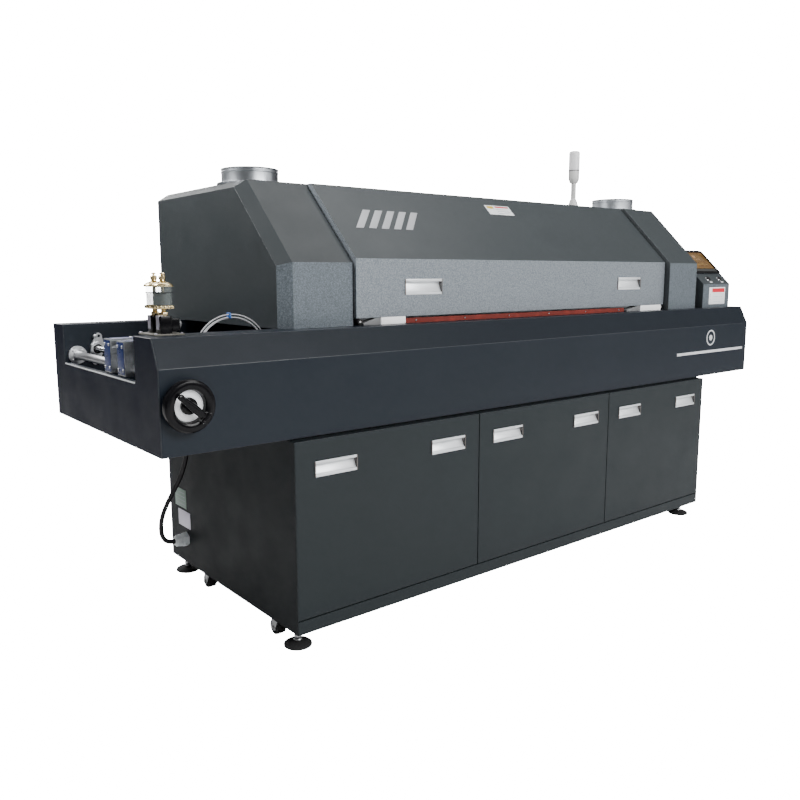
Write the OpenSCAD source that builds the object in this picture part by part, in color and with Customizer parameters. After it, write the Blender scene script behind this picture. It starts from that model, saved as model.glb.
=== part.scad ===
// Floor-standing in-line reflow oven for soldering circuit boards.
// X runs along the conveyor from the infeed end to the outfeed end, Y to the rear, Z up.
// Every module is drawn from the beam's left end (x), the beam's front face (y) and the floor (z);
// the last lines move it all so that the origin is below the middle of the oven.

/* [Beam] */
// Length of the long housing that carries the conveyor
beam_length = 2500; // [2450:10:2600]
// Depth of the beam, front face to back face
beam_depth = 745; // [740:5:760]
// Height of the beam's underside above the floor
beam_bottom = 554; // [550:1:560]
// Height of the beam's flat top above the floor
beam_top = 812; // [810:1:815]
// Height where the beam's front face starts to lean back
beam_bend = 747; // [740:1:755]
// Width of the box section along the beam's front edge
front_box = 130; // [125:5:130]
// Width of the box section along the beam's back edge
rear_box = 90; // [80:5:92]
// Height of the notch's floor in the end plates, where boards go in and out
notch_floor = 708; // [700:1:708]
// Thickness of the folded steel sheet
sheet = 2; // [1.5:0.5:2]

/* [Cabinet] */
// Left side of the cabinet
cab_left = 325; // [320:5:340]
// Right side of the cabinet
cab_right = 2165; // [2150:5:2180]
// Back face of the cabinet
cab_back = 756; // [750:1:760]
// Height of the cabinet's lowest edge above the floor
cab_bottom = 54; // [54:1:56]
// Height of the doors' lower edges
door_bottom = 92; // [90:1:100]
// Height of the doors' upper edges
door_top = 547; // [540:1:548]
// Depth of each door's folded rim
door_depth = 18; // [14:1:20]
// Joint between the left and the middle door
door_split_1 = 951; // [940:1:960]
// Joint between the middle and the right door
door_split_2 = 1569; // [1560:1:1580]

/* [Hood] */
// Height of the flat roof
roof = 1196; // [1190:1:1200]
// Back face of the hood, which overhangs the beam
hood_back = 825; // [815:1:830]
// Left face of the left hood block
hood_left = 357; // [357:1:365]
// Right face of the right hood block
hood_right = 2227; // [2225:1:2235]
// Left end of the lid
lid_left = 577; // [575:1:585]
// Right end of the lid
lid_right = 2004; // [1995:1:2006]
// Height of the lid's lower edge
lid_bottom = 832; // [832:1:836]
// Outside diameter of the two exhaust collars
collar_d = 160; // [150:5:160]
// Height of the exhaust collars above the roof
collar_h = 40; // [30:5:60]

/* [Lid mechanism] */
// Distance from the lid's pivot to either end of a gas strut
strut_arm = 350; // [345:1:355]
// Angle at the pivot between the two ends of a closed strut
strut_angle = 45; // [44:1:46]

/* [Conveyor] */
// Height of the rails
rail_h = 82; // [80:1:84]
// Front face of the fixed rail
rail_y = 213; // [211:1:215]
// Width of a rail
rail_w = 48; // [46:1:50]
// Gap between the rails at the narrowest setting
rail_gap = 42; // [38:1:44]
// Diameter of the guide bars
bar_d = 22; // [20:1:22]
// Diameter of the lead screws and the drive shaft
screw_d = 16; // [14:1:16]

/* [Hidden] */

$fn = 48;
run = 0.06;             // radial clearance of every running fit
slip = 1;               // how far a cutting shape passes a face
front_most = -46;       // the folded crank grip
y_centre = (front_most + hood_back) / 2;
tray_top = beam_bottom + sheet;
beam_lean = 30;         // how far the beam's leaning face goes back

// rounded facts of the sheet metal
door_y = -10;           // front plane of the doors
gap = 3;                // joint between doors
pull_w = 130;           // door pull, outside size
pull_h = 40;
pull_z = 472;           // height of the door pulls' centres
pull_inset = 120;       // from a door's edge to the centre of its pull
lid_pull = [138, 43];   // lid pull, outside size
lid_pull_x = [811, 1782];
lid_pull_z = 912;

// hood outlines: [front face, height of the bend, top of the lean]
left_front = 87;
left_bend = 977;
lid_front = 77;
lid_bend = 988;
right_front = 57;
right_bend = 985;
bevel = 34;             // length of the bevel at the hood's outer ends
bevel_in = 22;          // how far that bevel steps in
block_gap = 4;          // joint between the lid and each block

// lid hinge and gas struts
pivot = [785, 822];     // y, z
pin_r = 6;
low_angle = 5;
low_end = pivot + strut_arm * [-cos(low_angle), sin(low_angle)];
high_end = pivot + strut_arm * [-cos(low_angle + strut_angle), sin(low_angle + strut_angle)];
strut_length = norm(high_end - low_end);
strut_lean = atan2(high_end[0] - low_end[0], high_end[1] - low_end[1]);
strut_x = [605, lid_left + lid_right - 605];
hinge_x = [700, (lid_left + lid_right) / 2, lid_left + lid_right - 700];

// conveyor
rail_z = 711;
moving_y = rail_y + rail_w + rail_gap;
rail_start = 12;
bar_x = [34, 608, beam_length - 528, beam_length - 34];
bar_z = 727;
screw_x = [88, beam_length - 88];
screw_z = 741;
drive_x = beam_length - 150;
drive_z = 745;
trough_back = beam_depth - rear_box;
sprocket_r = 24;
chain_t = 4.4;
wheel_pos = [60, 666];  // x, z of the handwheel
wheel_chain_y = 84;
cross_chain_y = 102;
chain_w = 6;
heater = [640, 1940];   // both heater boxes, left and right ends
heater_y = [160, 640];
blower_x = [965, 1615];
blower_y = 400;
box_bottom = 803;
box_top = 1000;
motor_top = 1106;

// fold-out grip on the handwheel
grip_pivot = [30, -27];
grip_tilt = 42;         // lean of the grip, up and to the left
grip_y = -38.5;

// console
console_x = [2253, 2452];
console_front = 60;
console_bend = 905;
console_top = 1042;
console_back = 240;
button_x = [2318, 2402];

// beacon, lubricators, feet and casters
beacon = [2080, 575];
lube_x = 62;
lube_y = [102, 150];
foot_x = [cab_left + 33, cab_right - 33];
foot_y = [47, cab_back - 38];
caster_x = [cab_left + 26, cab_right - 26];
caster_y = [122, 528];
wheel_r = 22;
swivel = 12;            // how far a caster's wheel trails its swivel
caster_lift = 1.5;      // the levelling feet hold the casters clear of the floor

// leads
lead_d = 14;
lead_route = [
    [285, 640, 133], [271, 640, 133], [256, 638, 140], [245, 635, 155], [239, 631, 178],
    [239, 627, 206], [245, 621, 236], [256, 613, 266], [268, 604, 294], [279, 593, 322],
    [289, 581, 352], [296, 569, 384], [300, 560, 416], [302, 554, 450], [303, 551, 485],
    [303, 550, 512], [303, 550, 534]
];
hank = [262, 172];      // x, y of the thermocouple lead's hank
hank_r = 104;
hank_top = 852;
hank_t = 14;

steel_grey = [0.27, 0.29, 0.30];
cabinet_grey = [0.22, 0.25, 0.26];
beam_blue = [0.20, 0.23, 0.27];

// a stretch round a middle, and a stretch measured from a datum
function both(middle, reach) = [middle - reach, middle + reach];
function span(datum, low, high) = [datum + low, datum + high];

// a box given by its two corners
module block(x, y, z) {
    translate([x[0], y[0], z[0]])
        cube([x[1] - x[0], y[1] - y[0], z[1] - z[0]]);
}

// a Y-Z outline drawn out along X
module along_x(x, outline) {
    translate([x[0], 0, 0])
        rotate([90, 0, 90])
            linear_extrude(x[1] - x[0])
                polygon(outline);
}

// an X-Z outline drawn out along Y
module along_y(y, outline) {
    translate([0, y[1], 0])
        rotate([90, 0, 0])
            linear_extrude(y[1] - y[0])
                polygon(outline);
}

module rod_x(x, y, z, r) {
    translate([x[0], y, z])
        rotate([0, 90, 0])
            cylinder(r = r, h = x[1] - x[0]);
}

module rod_y(x, y, z, r) {
    translate([x, y[1], z])
        rotate([90, 0, 0])
            cylinder(r = r, h = y[1] - y[0]);
}

module rod_z(x, y, z, r) {
    translate([x, y, z[0]])
        cylinder(r = r, h = z[1] - z[0]);
}

// L-section steel along one edge; the two signs turn its legs inwards
module angle_x(x, y, z, leg_y, leg_z) {
    leg = 40;
    wall = 3;
    ys = leg_y > 0 ? [y, y + leg] : [y - leg, y];
    zs = leg_z > 0 ? [z, z + leg] : [z - leg, z];
    block(x, ys, leg_z > 0 ? [z, z + wall] : [z - wall, z]);
    block(x, leg_y > 0 ? [y, y + wall] : [y - wall, y], zs);
}

module angle_y(y, x, z, leg_x, leg_z) {
    leg = 40;
    wall = 3;
    xs = leg_x > 0 ? [x, x + leg] : [x - leg, x];
    zs = leg_z > 0 ? [z, z + leg] : [z - leg, z];
    block(xs, y, leg_z > 0 ? [z, z + wall] : [z - wall, z]);
    block(leg_x > 0 ? [x, x + wall] : [x - wall, x], y, zs);
}

module angle_z(z, x, y, leg_x, leg_y) {
    leg = 40;
    wall = 3;
    xs = leg_x > 0 ? [x, x + leg] : [x - leg, x];
    ys = leg_y > 0 ? [y, y + leg] : [y - leg, y];
    block(xs, leg_y > 0 ? [y, y + wall] : [y - wall, y], z);
    block(leg_x > 0 ? [x, x + wall] : [x - wall, x], ys, z);
}

// ---- cabinet ----

module base_frame() {
    x = [cab_left + sheet, cab_right - sheet];
    y = [14, cab_back - 14];
    z = [cab_bottom + sheet, beam_bottom];
    color(cabinet_grey) difference() {
        union() {
            // floor of the cabinet, with the plinth's sill folded up along the front and the back
            block(x, [door_y, cab_back - sheet], [cab_bottom, cab_bottom + sheet]);
            block(x, [door_y, door_y + sheet], [cab_bottom, door_bottom - gap]);
            block(x, [door_y, door_y + 30], [door_bottom - gap - sheet, door_bottom - gap]);
            block(x, [cab_back - sheet, cab_back], [cab_bottom, door_bottom - gap]);
            // corner posts
            for (i = [0, 1], j = [0, 1])
                angle_z(z, x[i], y[j], i == 0 ? 1 : -1, j == 0 ? 1 : -1);
            // posts behind the joints between the doors
            for (px = [door_split_1, door_split_2])
                block([px - 15, px + 15], [y[0], y[0] + 4], z);
            // top and bottom rails
            for (j = [0, 1]) {
                angle_x(x, y[j], z[1], j == 0 ? 1 : -1, -1);
                angle_x(x, y[j], z[0], j == 0 ? 1 : -1, 1);
            }
            for (i = [0, 1]) {
                angle_y(y, x[i], z[1], i == 0 ? 1 : -1, -1);
                angle_y(y, x[i], z[0], i == 0 ? 1 : -1, 1);
            }
        }
        for (px = foot_x, py = foot_y)
            rod_z(px, py, [cab_bottom - slip, cab_bottom + 8], 6);
    }
}

module side_panel_sheet(outer, inward) {
    x = inward > 0 ? [outer, outer + sheet] : [outer - sheet, outer];
    rim = inward > 0 ? [outer, outer + 12] : [outer - 12, outer];
    z = [cab_bottom, door_top];
    block(x, [door_y, cab_back], z);
    block(rim, [cab_back - sheet, cab_back], [door_bottom, door_top]);
}

module left_side_panel() {
    color(cabinet_grey)
        difference() {
            side_panel_sheet(cab_left, 1);
            rod_x([cab_left - slip, cab_left + sheet + slip], 640, 133, 16);
        }
}

module right_side_panel() {
    color(cabinet_grey)
        side_panel_sheet(cab_right, -1);
}

module rear_covers() {
    edges = [cab_left + 14, door_split_1, door_split_2, cab_right - 14];
    louvre_w = 120;
    color(cabinet_grey)
        for (i = [0:2])
            difference() {
                block([edges[i] + gap / 2, edges[i + 1] - gap / 2],
                      [cab_back - sheet, cab_back], [door_bottom, door_top]);
                for (side = [-1, 1], row = [0:5])
                    translate([(edges[i] + edges[i + 1]) / 2 + side * 150 - louvre_w / 2,
                               cab_back - sheet - slip, 380 + row * 20])
                        cube([louvre_w, sheet + 2 * slip, 6]);
            }
}

module door(x) {
    y = [door_y, door_y + door_depth];
    z = [door_bottom, door_top];
    color(cabinet_grey)
        difference() {
            block(x, y, z);
            block([x[0] + sheet, x[1] - sheet], [y[0] + sheet, y[1] + slip],
                  [z[0] + sheet, z[1] - sheet]);
            for (px = [x[0] + pull_inset, x[1] - pull_inset])
                block([px - pull_w / 2 + 4, px + pull_w / 2 - 4],
                      [y[0] - slip, y[0] + sheet + slip],
                      [pull_z - pull_h / 2 + 3, pull_z + pull_h / 2 - 3]);
        }
}

// a flush cup pull; its flange lies on the face at y
module cup_pull(x, y, z, size) {
    w = size[0] / 2;
    h = size[1] / 2;
    cup = 14;
    difference() {
        union() {
            block([x - w, x + w], [y - 1.5, y], [z - h, z + h]);
            block([x - w + 5, x + w - 5], [y, y + cup], [z - h + 4, z + h - 4]);
        }
        block([x - w + 7, x + w - 7], [y - 2, y + cup - 2], [z - h + 6, z + h - 6]);
    }
    // finger lip along the top
    block([x - w + 7, x + w - 7], [y - 1.5, y + 0.5], [z + 2, z + h - 6]);
}

module door_pulls(x) {
    color([0.85, 0.86, 0.88])
        for (px = [x[0] + pull_inset, x[1] - pull_inset])
            cup_pull(px, door_y, pull_z, [pull_w, pull_h]);
}

door_edges = [
    [cab_left + sheet, door_split_1 - gap / 2],
    [door_split_1 + gap / 2, door_split_2 - gap / 2],
    [door_split_2 + gap / 2, cab_right - sheet]
];
module front_door_1() door(door_edges[0]);
module front_door_2() door(door_edges[1]);
module front_door_3() door(door_edges[2]);
module door_handles_1() door_pulls(door_edges[0]);
module door_handles_2() door_pulls(door_edges[1]);
module door_handles_3() door_pulls(door_edges[2]);

// ---- beam ----

module beam_front_cover() {
    s = sheet;
    outline = [
        [0, beam_bottom], [0, beam_bend], [beam_lean, beam_top], [front_box, beam_top],
        [front_box, tray_top], [front_box - s, tray_top], [front_box - s, beam_top - s],
        [beam_lean + 1.2, beam_top - s], [s, beam_bend - 0.4], [s, beam_bottom]
    ];
    color(beam_blue)
        difference() {
            along_x([s, beam_length - s], outline);
            rod_y(wheel_pos[0], [-slip, s + slip], wheel_pos[1], screw_d / 2 + 2);
            for (x = screw_x)
                rod_y(x, [front_box - s - slip, front_box + slip], screw_z, screw_d / 2 + 1);
        }
}

module beam_rear_cover() {
    s = sheet;
    y = [trough_back, beam_depth];
    outline = [
        [y[0], tray_top], [y[0], beam_top], [y[1], beam_top], [y[1], beam_bottom],
        [y[1] - s, beam_bottom], [y[1] - s, beam_top - s], [y[0] + s, beam_top - s], [y[0] + s, tray_top]
    ];
    color(beam_blue)
        difference() {
            along_x([s, beam_length - s], outline);
            rod_y(drive_x, [y[0] - slip, y[0] + s + slip], drive_z, screw_d / 2 + 1);
        }
}

module beam_end(x, strip) {
    lip = 12;
    s = sheet;
    y = [front_box, trough_back];
    along_x(x, [
        [0, beam_bottom], [0, beam_bend], [beam_lean, beam_top], [y[0], beam_top],
        [y[0], notch_floor], [y[1], notch_floor], [y[1], beam_top],
        [beam_depth, beam_top], [beam_depth, beam_bottom]
    ]);
    // narrow folded strip around the notch
    fold = strip > 0 ? [x[1], x[1] + lip] : [x[0] - lip, x[0]];
    block(fold, y, [notch_floor - s, notch_floor]);
}

module beam_tray() {
    s = sheet;
    color(beam_blue) {
        block([s, beam_length - s], [s, beam_depth - s], [beam_bottom, tray_top]);
        beam_end([0, s], 1);
        beam_end([beam_length - s, beam_length], -1);
    }
}

// ---- hood ----

// outline of the hood, stepped in by t: leaning front at 45 degrees, flat roof, straight back
function hood_outline(front, bend, t, low) = [
    [front + t, low],
    [front + t, bend - t * tan(22.5)],
    [front + roof - bend + t * tan(22.5), roof - t],
    [hood_back - t, roof - t],
    [hood_back - t, low]
];

// the bevelled outer end of a block: the front, the lean and the roof step in together
function bevel_outline(front, bend, t, low) = [
    [front + t, low],
    [front + t, bend - t * tan(22.5)],
    [front + roof - bend + t * tan(22.5), roof - t],
    [hood_back, roof - t],
    [hood_back, low]
];

// cuts a block's end at the bevel; side is -1 for the left end, 1 for the right end
module bevel_cut(front, bend, x_end, side) {
    big = 1200;
    wedge = [[0, 0], [side * (bevel + slip), 0], [side * (bevel + slip), -bevel_in * (bevel + slip) / bevel]];
    start = x_end - side * bevel;
    // front face
    translate([start, front, beam_top - slip])
        linear_extrude(bend - beam_top + 60)
            polygon([for (p = wedge) [p[0], -p[1]]]);
    // leaning face
    translate([start, front, bend])
        rotate([45, 0, 0])
            translate([0, big / 2, 0])
                along_y([-big / 2 - 60, 0], wedge);
    // roof
    translate([start, 0, roof])
        along_y([front, hood_back + slip], wedge);
}

module hood_block(x, front, bend, side, duct) {
    s = sheet;
    inner = side < 0 ? [x[0] + bevel + s, x[1] - s] : [x[0] + s, x[1] - bevel - s];
    outer_cut = side < 0 ? [x[0] + s, x[0] + bevel + s + slip] : [x[1] - bevel - s - slip, x[1] - s];
    difference() {
        along_x(x, hood_outline(front, bend, 0, beam_top));
        bevel_cut(front, bend, side < 0 ? x[0] : x[1], side);
        along_x(inner, hood_outline(front, bend, s, beam_top - slip));
        along_x(outer_cut, hood_outline(front, bend, bevel_in + s, beam_top - slip));
        rod_z(duct[0], duct[1], [roof - 2 * s, roof + slip], collar_d / 2 - 1.5);
    }
    // floor of the part that overhangs the beam's back
    block([x[0] + s, x[1] - s], [beam_depth + slip, hood_back - s], [beam_top, beam_top + s]);
}

ducts = [
    [(hood_left + bevel + lid_left - block_gap) / 2, (left_front + hood_back) / 2],
    [(lid_right + block_gap + hood_right - bevel) / 2, 392]
];

module left_hood() {
    color(steel_grey)
        hood_block([hood_left, lid_left - block_gap], left_front, left_bend, -1, ducts[0]);
}

module right_hood() {
    color(steel_grey)
        hood_block([lid_right + block_gap, hood_right], right_front, right_bend, 1, ducts[1]);
}

module exhaust_collars() {
    flange_r = 90;
    color([0.75, 0.77, 0.78])
        for (d = ducts)
            difference() {
                union() {
                    rod_z(d[0], d[1], [roof, roof + 3], flange_r);
                    rod_z(d[0], d[1], [roof, roof + collar_h], collar_d / 2);
                }
                rod_z(d[0], d[1], [roof - slip, roof + collar_h + slip], collar_d / 2 - 1.5);
            }
}

// ---- lid ----

module lid_ear(x) {
    difference() {
        union() {
            rod_x(x, pivot[0], pivot[1], 11);
            along_x(x, [
                [pivot[0] - 2, pivot[1] + 10.5], [pivot[0] + 8, pivot[1] + 5],
                [hood_back - 1, lid_bottom + 2], [hood_back - 1, lid_bottom + 50]
            ]);
        }
        rod_x([x[0] - slip, x[1] + slip], pivot[0], pivot[1], pin_r + run);
    }
}

// plate and stud that the top of a strut hangs on; side is 1 at the left end, -1 at the right
module strut_hanger(x, side) {
    plate = side > 0 ? [lid_left + 4, lid_left + 8] : [lid_right - 8, lid_right - 4];
    stud = side > 0 ? [plate[1], x + 7] : [x - 7, plate[0]];
    block(plate, both(high_end[0], 15), [high_end[1] - 12, roof - 1]);
    rod_x(stud, high_end[0], high_end[1], 4);
}

module lid_shell() {
    s = sheet;
    lip = 22;
    low = lid_bottom - slip;
    color(steel_grey) {
        difference() {
            along_x([lid_left, lid_right], hood_outline(lid_front, lid_bend, 0, lid_bottom));
            along_x([lid_left + s, lid_right - s], hood_outline(lid_front, lid_bend, s, low));
            along_x([lid_left - slip, lid_right + slip], hood_outline(lid_front, lid_bend, lip, low));
            for (x = lid_pull_x)
                block([x - lid_pull[0] / 2 + 4, x + lid_pull[0] / 2 - 4],
                      [lid_front - slip, lid_front + s + slip],
                      [lid_pull_z - lid_pull[1] / 2 + 3, lid_pull_z + lid_pull[1] / 2 - 3]);
        }
        for (x = hinge_x) {
            lid_ear([x - 18, x - 12]);
            lid_ear([x + 12, x + 18]);
        }
        strut_hanger(strut_x[0], 1);
        strut_hanger(strut_x[1], -1);
    }
}

module lid_handles() {
    color([0.85, 0.86, 0.88])
        for (x = lid_pull_x)
            cup_pull(x, lid_front, lid_pull_z, lid_pull);
}

module upper_heater_box() {
    wall = 3;
    zones = 4;
    zone_w = (heater[1] - heater[0]) / zones;
    color([0.62, 0.62, 0.6]) {
        difference() {
            block(heater, heater_y, [box_bottom, box_top]);
            block(heater + [wall, -wall], heater_y + [wall, -wall], [box_bottom + wall, box_top - wall]);
            // air slots facing the boards
            for (i = [0:zones - 1], row = [0:9])
                translate([heater[0] + i * zone_w + 30, heater_y[0] + 40 + row * 42, box_bottom - slip])
                    cube([zone_w - 60, 10, wall + 2 * slip]);
            for (x = blower_x)
                rod_z(x, blower_y, [box_top - wall - slip, box_top + slip], 9);
        }
        // straps that hang the box from the roof
        for (x = heater + [40, -40], y = heater_y + [170, -30])
            block(both(x, 20), both(y, 2), [box_top, roof - sheet]);
    }
}

module blower_motors() {
    color([0.25, 0.3, 0.34])
        for (x = blower_x)
            difference() {
                union() {
                    block(both(x, 75), both(blower_y, 75), [box_top, box_top + 6]);
                    rod_z(x, blower_y, [box_top + 6, motor_top], 62);
                    rod_z(x, blower_y, [motor_top, motor_top + 14], 50);
                }
                rod_z(x, blower_y, [box_top - slip, motor_top - 20], 6 + run);
            }
}

module impeller(x) {
    blades = 10;
    color([0.6, 0.62, 0.64]) {
        rod_z(x, blower_y, [925, motor_top - 30], 6);
        rod_z(x, blower_y, [930, 933], 105);
        rod_z(x, blower_y, [925, 975], 20);
        for (i = [0:blades - 1])
            translate([x, blower_y, 0])
                rotate(i * 360 / blades)
                    block([60, 104], [-1.5, 1.5], [933, 973]);
    }
}

module blower_impeller_1() impeller(blower_x[0]);
module blower_impeller_2() impeller(blower_x[1]);

// ---- lid hinge and gas struts ----

module lid_hinges() {
    color([0.35, 0.36, 0.38]) {
        for (x = hinge_x) {
            block(both(x, 30), [beam_depth - 50, beam_depth], [beam_top, beam_top + 5]);
            along_x(both(x, 10), [
                [beam_depth - 30, beam_top], [beam_depth - 30, beam_top + 5], [pivot[0] - 8, pivot[1] + 8],
                [pivot[0] + 4, pivot[1]], [pivot[0] - 2, pivot[1] - 10]
            ]);
            rod_x(both(x, 10), pivot[0], pivot[1], 10);
            rod_x(both(x, 19), pivot[0], pivot[1], pin_r);
        }
        // studs on the hood blocks that the struts stand on
        rod_x([lid_left - block_gap, strut_x[0] + 7], low_end[0], low_end[1], 5);
        rod_x([strut_x[1] - 7, lid_right + block_gap], low_end[0], low_end[1], 5);
    }
}

// moves a strut drawn upwards from its lower eye into place
module stand_strut(x) {
    translate([x, low_end[0], low_end[1]])
        rotate([-strut_lean, 0, 0])
            children();
}

strut_body = [16, strut_length - 30];
module strut_cylinders() {
    color([0.08, 0.08, 0.09])
        for (x = strut_x)
            stand_strut(x)
                difference() {
                    union() {
                        rod_x([-5, 5], 0, 0, 10);
                        translate([0, 0, 6])
                            cylinder(r = 6, h = 12);
                        translate([0, 0, strut_body[0]])
                            cylinder(r = 11, h = strut_body[1] - strut_body[0]);
                    }
                    rod_x([-6, 6], 0, 0, 5 + run);
                    translate([0, 0, 22])
                        cylinder(r = 5 + run, h = strut_length);
                }
}

module strut_rods() {
    color([0.75, 0.76, 0.78])
        for (x = strut_x)
            stand_strut(x)
                difference() {
                    union() {
                        translate([0, 0, 24])
                            cylinder(r = 5, h = strut_length - 24 - 9);
                        rod_x([-5, 5], 0, strut_length, 13);
                    }
                    // the eye is wide, because this is the pivot where the loop is opened
                    rod_x([-6, 6], 0, strut_length, 8);
                }
}

// ---- seal and pads on the beam's ledge ----

module lid_seal() {
    color([0.65, 0.12, 0.1])
        block([lid_left + 175, lid_right - 232], [86, 100], [beam_top, beam_top + 14]);
}

module lid_rest_pads() {
    color([0.9, 0.9, 0.88])
        for (x = [[lid_left + 25, lid_left + 169], [lid_right - 226, lid_right - 14]])
            block(x, [lid_front, lid_front + 30], [beam_top, lid_bottom]);
}

// ---- heating ----

module lower_heater_box() {
    wall = 3;
    top = 700;
    zones = 4;
    zone_w = (heater[1] - heater[0]) / zones;
    color([0.62, 0.62, 0.6]) {
        difference() {
            block(heater, heater_y, [tray_top, top]);
            block(heater + [wall, -wall], heater_y + [wall, -wall], [tray_top - slip, top - wall]);
        }
        // flat heating panels
        for (i = [0:zones - 1])
            translate([heater[0] + i * zone_w + 20, heater_y[0] + 20, top])
                cube([zone_w - 40, heater_y[1] - heater_y[0] - 40, 6]);
    }
}

// ---- conveyor ----

// a rail with its chain; inside is the face towards the boards
module rail(outside, inside, x) {
    way = inside > outside ? 1 : -1;
    z = [rail_z, rail_z + rail_h];
    web = 5;
    chain_z = [z[0] + 57, z[0] + 67];
    module strip(a, b, zz) {
        block(x, [min(a, b), max(a, b)], zz);
    }
    strip(outside, outside + way * web, z);
    strip(outside, inside, [z[1] - web, z[1]]);
    strip(outside, inside, [z[0], z[0] + web]);
    strip(inside - way * web, inside, [z[0], z[0] + 54]);
    // guide that the chain runs on, and the chain with its board pins
    strip(outside + way * web, inside, [z[0] + 54, chain_z[0]]);
    strip(inside - way * 9, inside - way * 1, [chain_z[0], chain_z[1] - 1]);
    strip(inside - way * 2, inside + way * 3.5, [chain_z[0] + 3, chain_z[0] + 6]);
    // end plates
    for (px = [x[0] - 4, x[1]])
        block([px, px + 4], [min(outside, inside), max(outside, inside)], z);
}

module rail_bores(y, screw_r) {
    for (x = bar_x)
        rod_y(x, y + [-slip, slip], bar_z, bar_d / 2 + run);
    for (x = screw_x)
        rod_y(x, y + [-slip, slip], screw_z, screw_r);
    rod_y(drive_x, y + [-slip, slip], drive_z, screw_d / 2 + 3);
}

rail_span = [rail_start, beam_length - rail_start];
module fixed_rail() {
    y = [rail_y, rail_y + rail_w];
    color([0.5, 0.54, 0.62])
        difference() {
            rail(y[0], y[1], rail_span);
            rail_bores(y, screw_d / 2 + 2);
        }
}

module moving_rail() {
    y = [moving_y, moving_y + rail_w];
    color([0.5, 0.54, 0.62])
        difference() {
            union() {
                rail(y[1], y[0], rail_span);
                // bushes on the guide bars and nuts on the lead screws
                for (x = bar_x)
                    rod_y(x, y, bar_z, bar_d / 2 + 4);
                for (x = screw_x)
                    rod_y(x, y, screw_z, screw_d / 2 + 5);
            }
            rail_bores(y, screw_d / 2 + run);
        }
}

// rhombic two-bolt flange bearing for a shaft along Y; it stands on the wall at y = wall, and way
// says to which side
module flange_bearing(x, z, wall, way, turn) {
    reach = 36;
    plate = 6;
    translate([x, wall, z])
        rotate([way > 0 ? -90 : 90, 0, 0])
            rotate(turn)
                difference() {
                    union() {
                        cylinder(r = 19, h = 12);
                        for (k = [-1, 1])
                            translate([k * reach, 0, 0])
                                cylinder(r = 9, h = plate);
                        linear_extrude(plate)
                            polygon([[-reach - 4, 8], [-10, 18], [10, 18], [reach + 4, 8],
                                     [reach + 4, -8], [10, -18], [-10, -18], [-reach - 4, -8]]);
                    }
                    translate([0, 0, -slip])
                        cylinder(r = screw_d / 2 + run, h = 12 + 2 * slip);
                    for (k = [-1, 1])
                        translate([k * reach, 0, -slip])
                            cylinder(r = 4, h = plate + 2 * slip);
                }
}

module rail_guides() {
    flange_r = 25;
    flange_t = 8;
    steep = 80;
    color([0.78, 0.8, 0.82]) {
        for (x = bar_x) {
            rod_y(x, [front_box, trough_back], bar_z, bar_d / 2);
            rod_y(x, [front_box, front_box + flange_t], bar_z, flange_r);
            rod_y(x, [trough_back - flange_t, trough_back], bar_z, flange_r);
        }
        for (x = screw_x) {
            flange_bearing(x, screw_z, front_box, 1, steep);
            flange_bearing(x, screw_z, trough_back, -1, steep);
        }
        flange_bearing(drive_x, drive_z, front_box, 1, steep);
        flange_bearing(drive_x, drive_z, trough_back, -1, steep);
        flange_bearing(wheel_pos[0], wheel_pos[1], sheet, 1, 0);
    }
}

module lead_screw(x, front) {
    color([0.7, 0.71, 0.73]) {
        rod_y(x, [front, trough_back - 1], screw_z, screw_d / 2);
        rod_y(x, [cross_chain_y, cross_chain_y + chain_w], screw_z, sprocket_r);
    }
}

module infeed_lead_screw() {
    lead_screw(screw_x[0], wheel_chain_y - 6);
    color([0.7, 0.71, 0.73])
        rod_y(screw_x[0], [wheel_chain_y, wheel_chain_y + chain_w], screw_z, sprocket_r);
}
module outfeed_lead_screw() lead_screw(screw_x[1], cross_chain_y - 6);

// a closed chain round two equal sprockets; ends are [x, z] points
module chain_loop(a, b, y) {
    r = sprocket_r + 0.4;
    reach = norm(b - a);
    translate([a[0], y + chain_w, a[1]])
        rotate([90, 0, 0])
            rotate(atan2(b[1] - a[1], b[0] - a[0]))
                linear_extrude(chain_w)
                    difference() {
                        union() {
                            circle(r + chain_t);
                            translate([reach, 0]) circle(r + chain_t);
                            translate([0, -r - chain_t]) square([reach, 2 * (r + chain_t)]);
                        }
                        circle(r);
                        translate([reach, 0]) circle(r);
                        translate([0, -r]) square([reach, 2 * r]);
                    }
}

module width_chains() {
    near = [screw_x[0], screw_z];
    far = [screw_x[1], screw_z];
    color([0.4, 0.4, 0.42]) {
        chain_loop(wheel_pos, near, wheel_chain_y);
        chain_loop(near, far, cross_chain_y);
    }
}

// turns a shape drawn on the handwheel's face, with Z out of the face, into place
module on_wheel() {
    translate([wheel_pos[0], 0, wheel_pos[1]])
        rotate([90, 0, 0])
            children();
}

module handwheel() {
    lug = [9, 13];
    color([0.05, 0.05, 0.05])
        on_wheel() {
            rotate_extrude($fn = 96)
                polygon([[0, 8], [50, 8], [56, 10], [59, 16], [59, 23], [56, 28], [50, 30],
                         [39, 30], [35, 27], [34, 13], [17, 13], [17, 20], [0, 20]]);
            translate([grip_pivot[0], grip_pivot[1], 0])
                rotate(-grip_tilt) {
                    for (k = [-1, 1])
                        translate([-6, k > 0 ? lug[0] : -lug[1], 24])
                            cube([12, lug[1] - lug[0], -grip_y - 24 + 5]);
                    translate([0, lug[1], -grip_y])
                        rotate([90, 0, 0])
                            cylinder(r = 2.5, h = 2 * lug[1]);
                }
        }
    color([0.7, 0.71, 0.73]) {
        rod_y(wheel_pos[0], [-10, wheel_chain_y + chain_w + 6], wheel_pos[1], screw_d / 2);
        rod_y(wheel_pos[0], [wheel_chain_y, wheel_chain_y + chain_w], wheel_pos[1], sprocket_r);
    }
}

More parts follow.
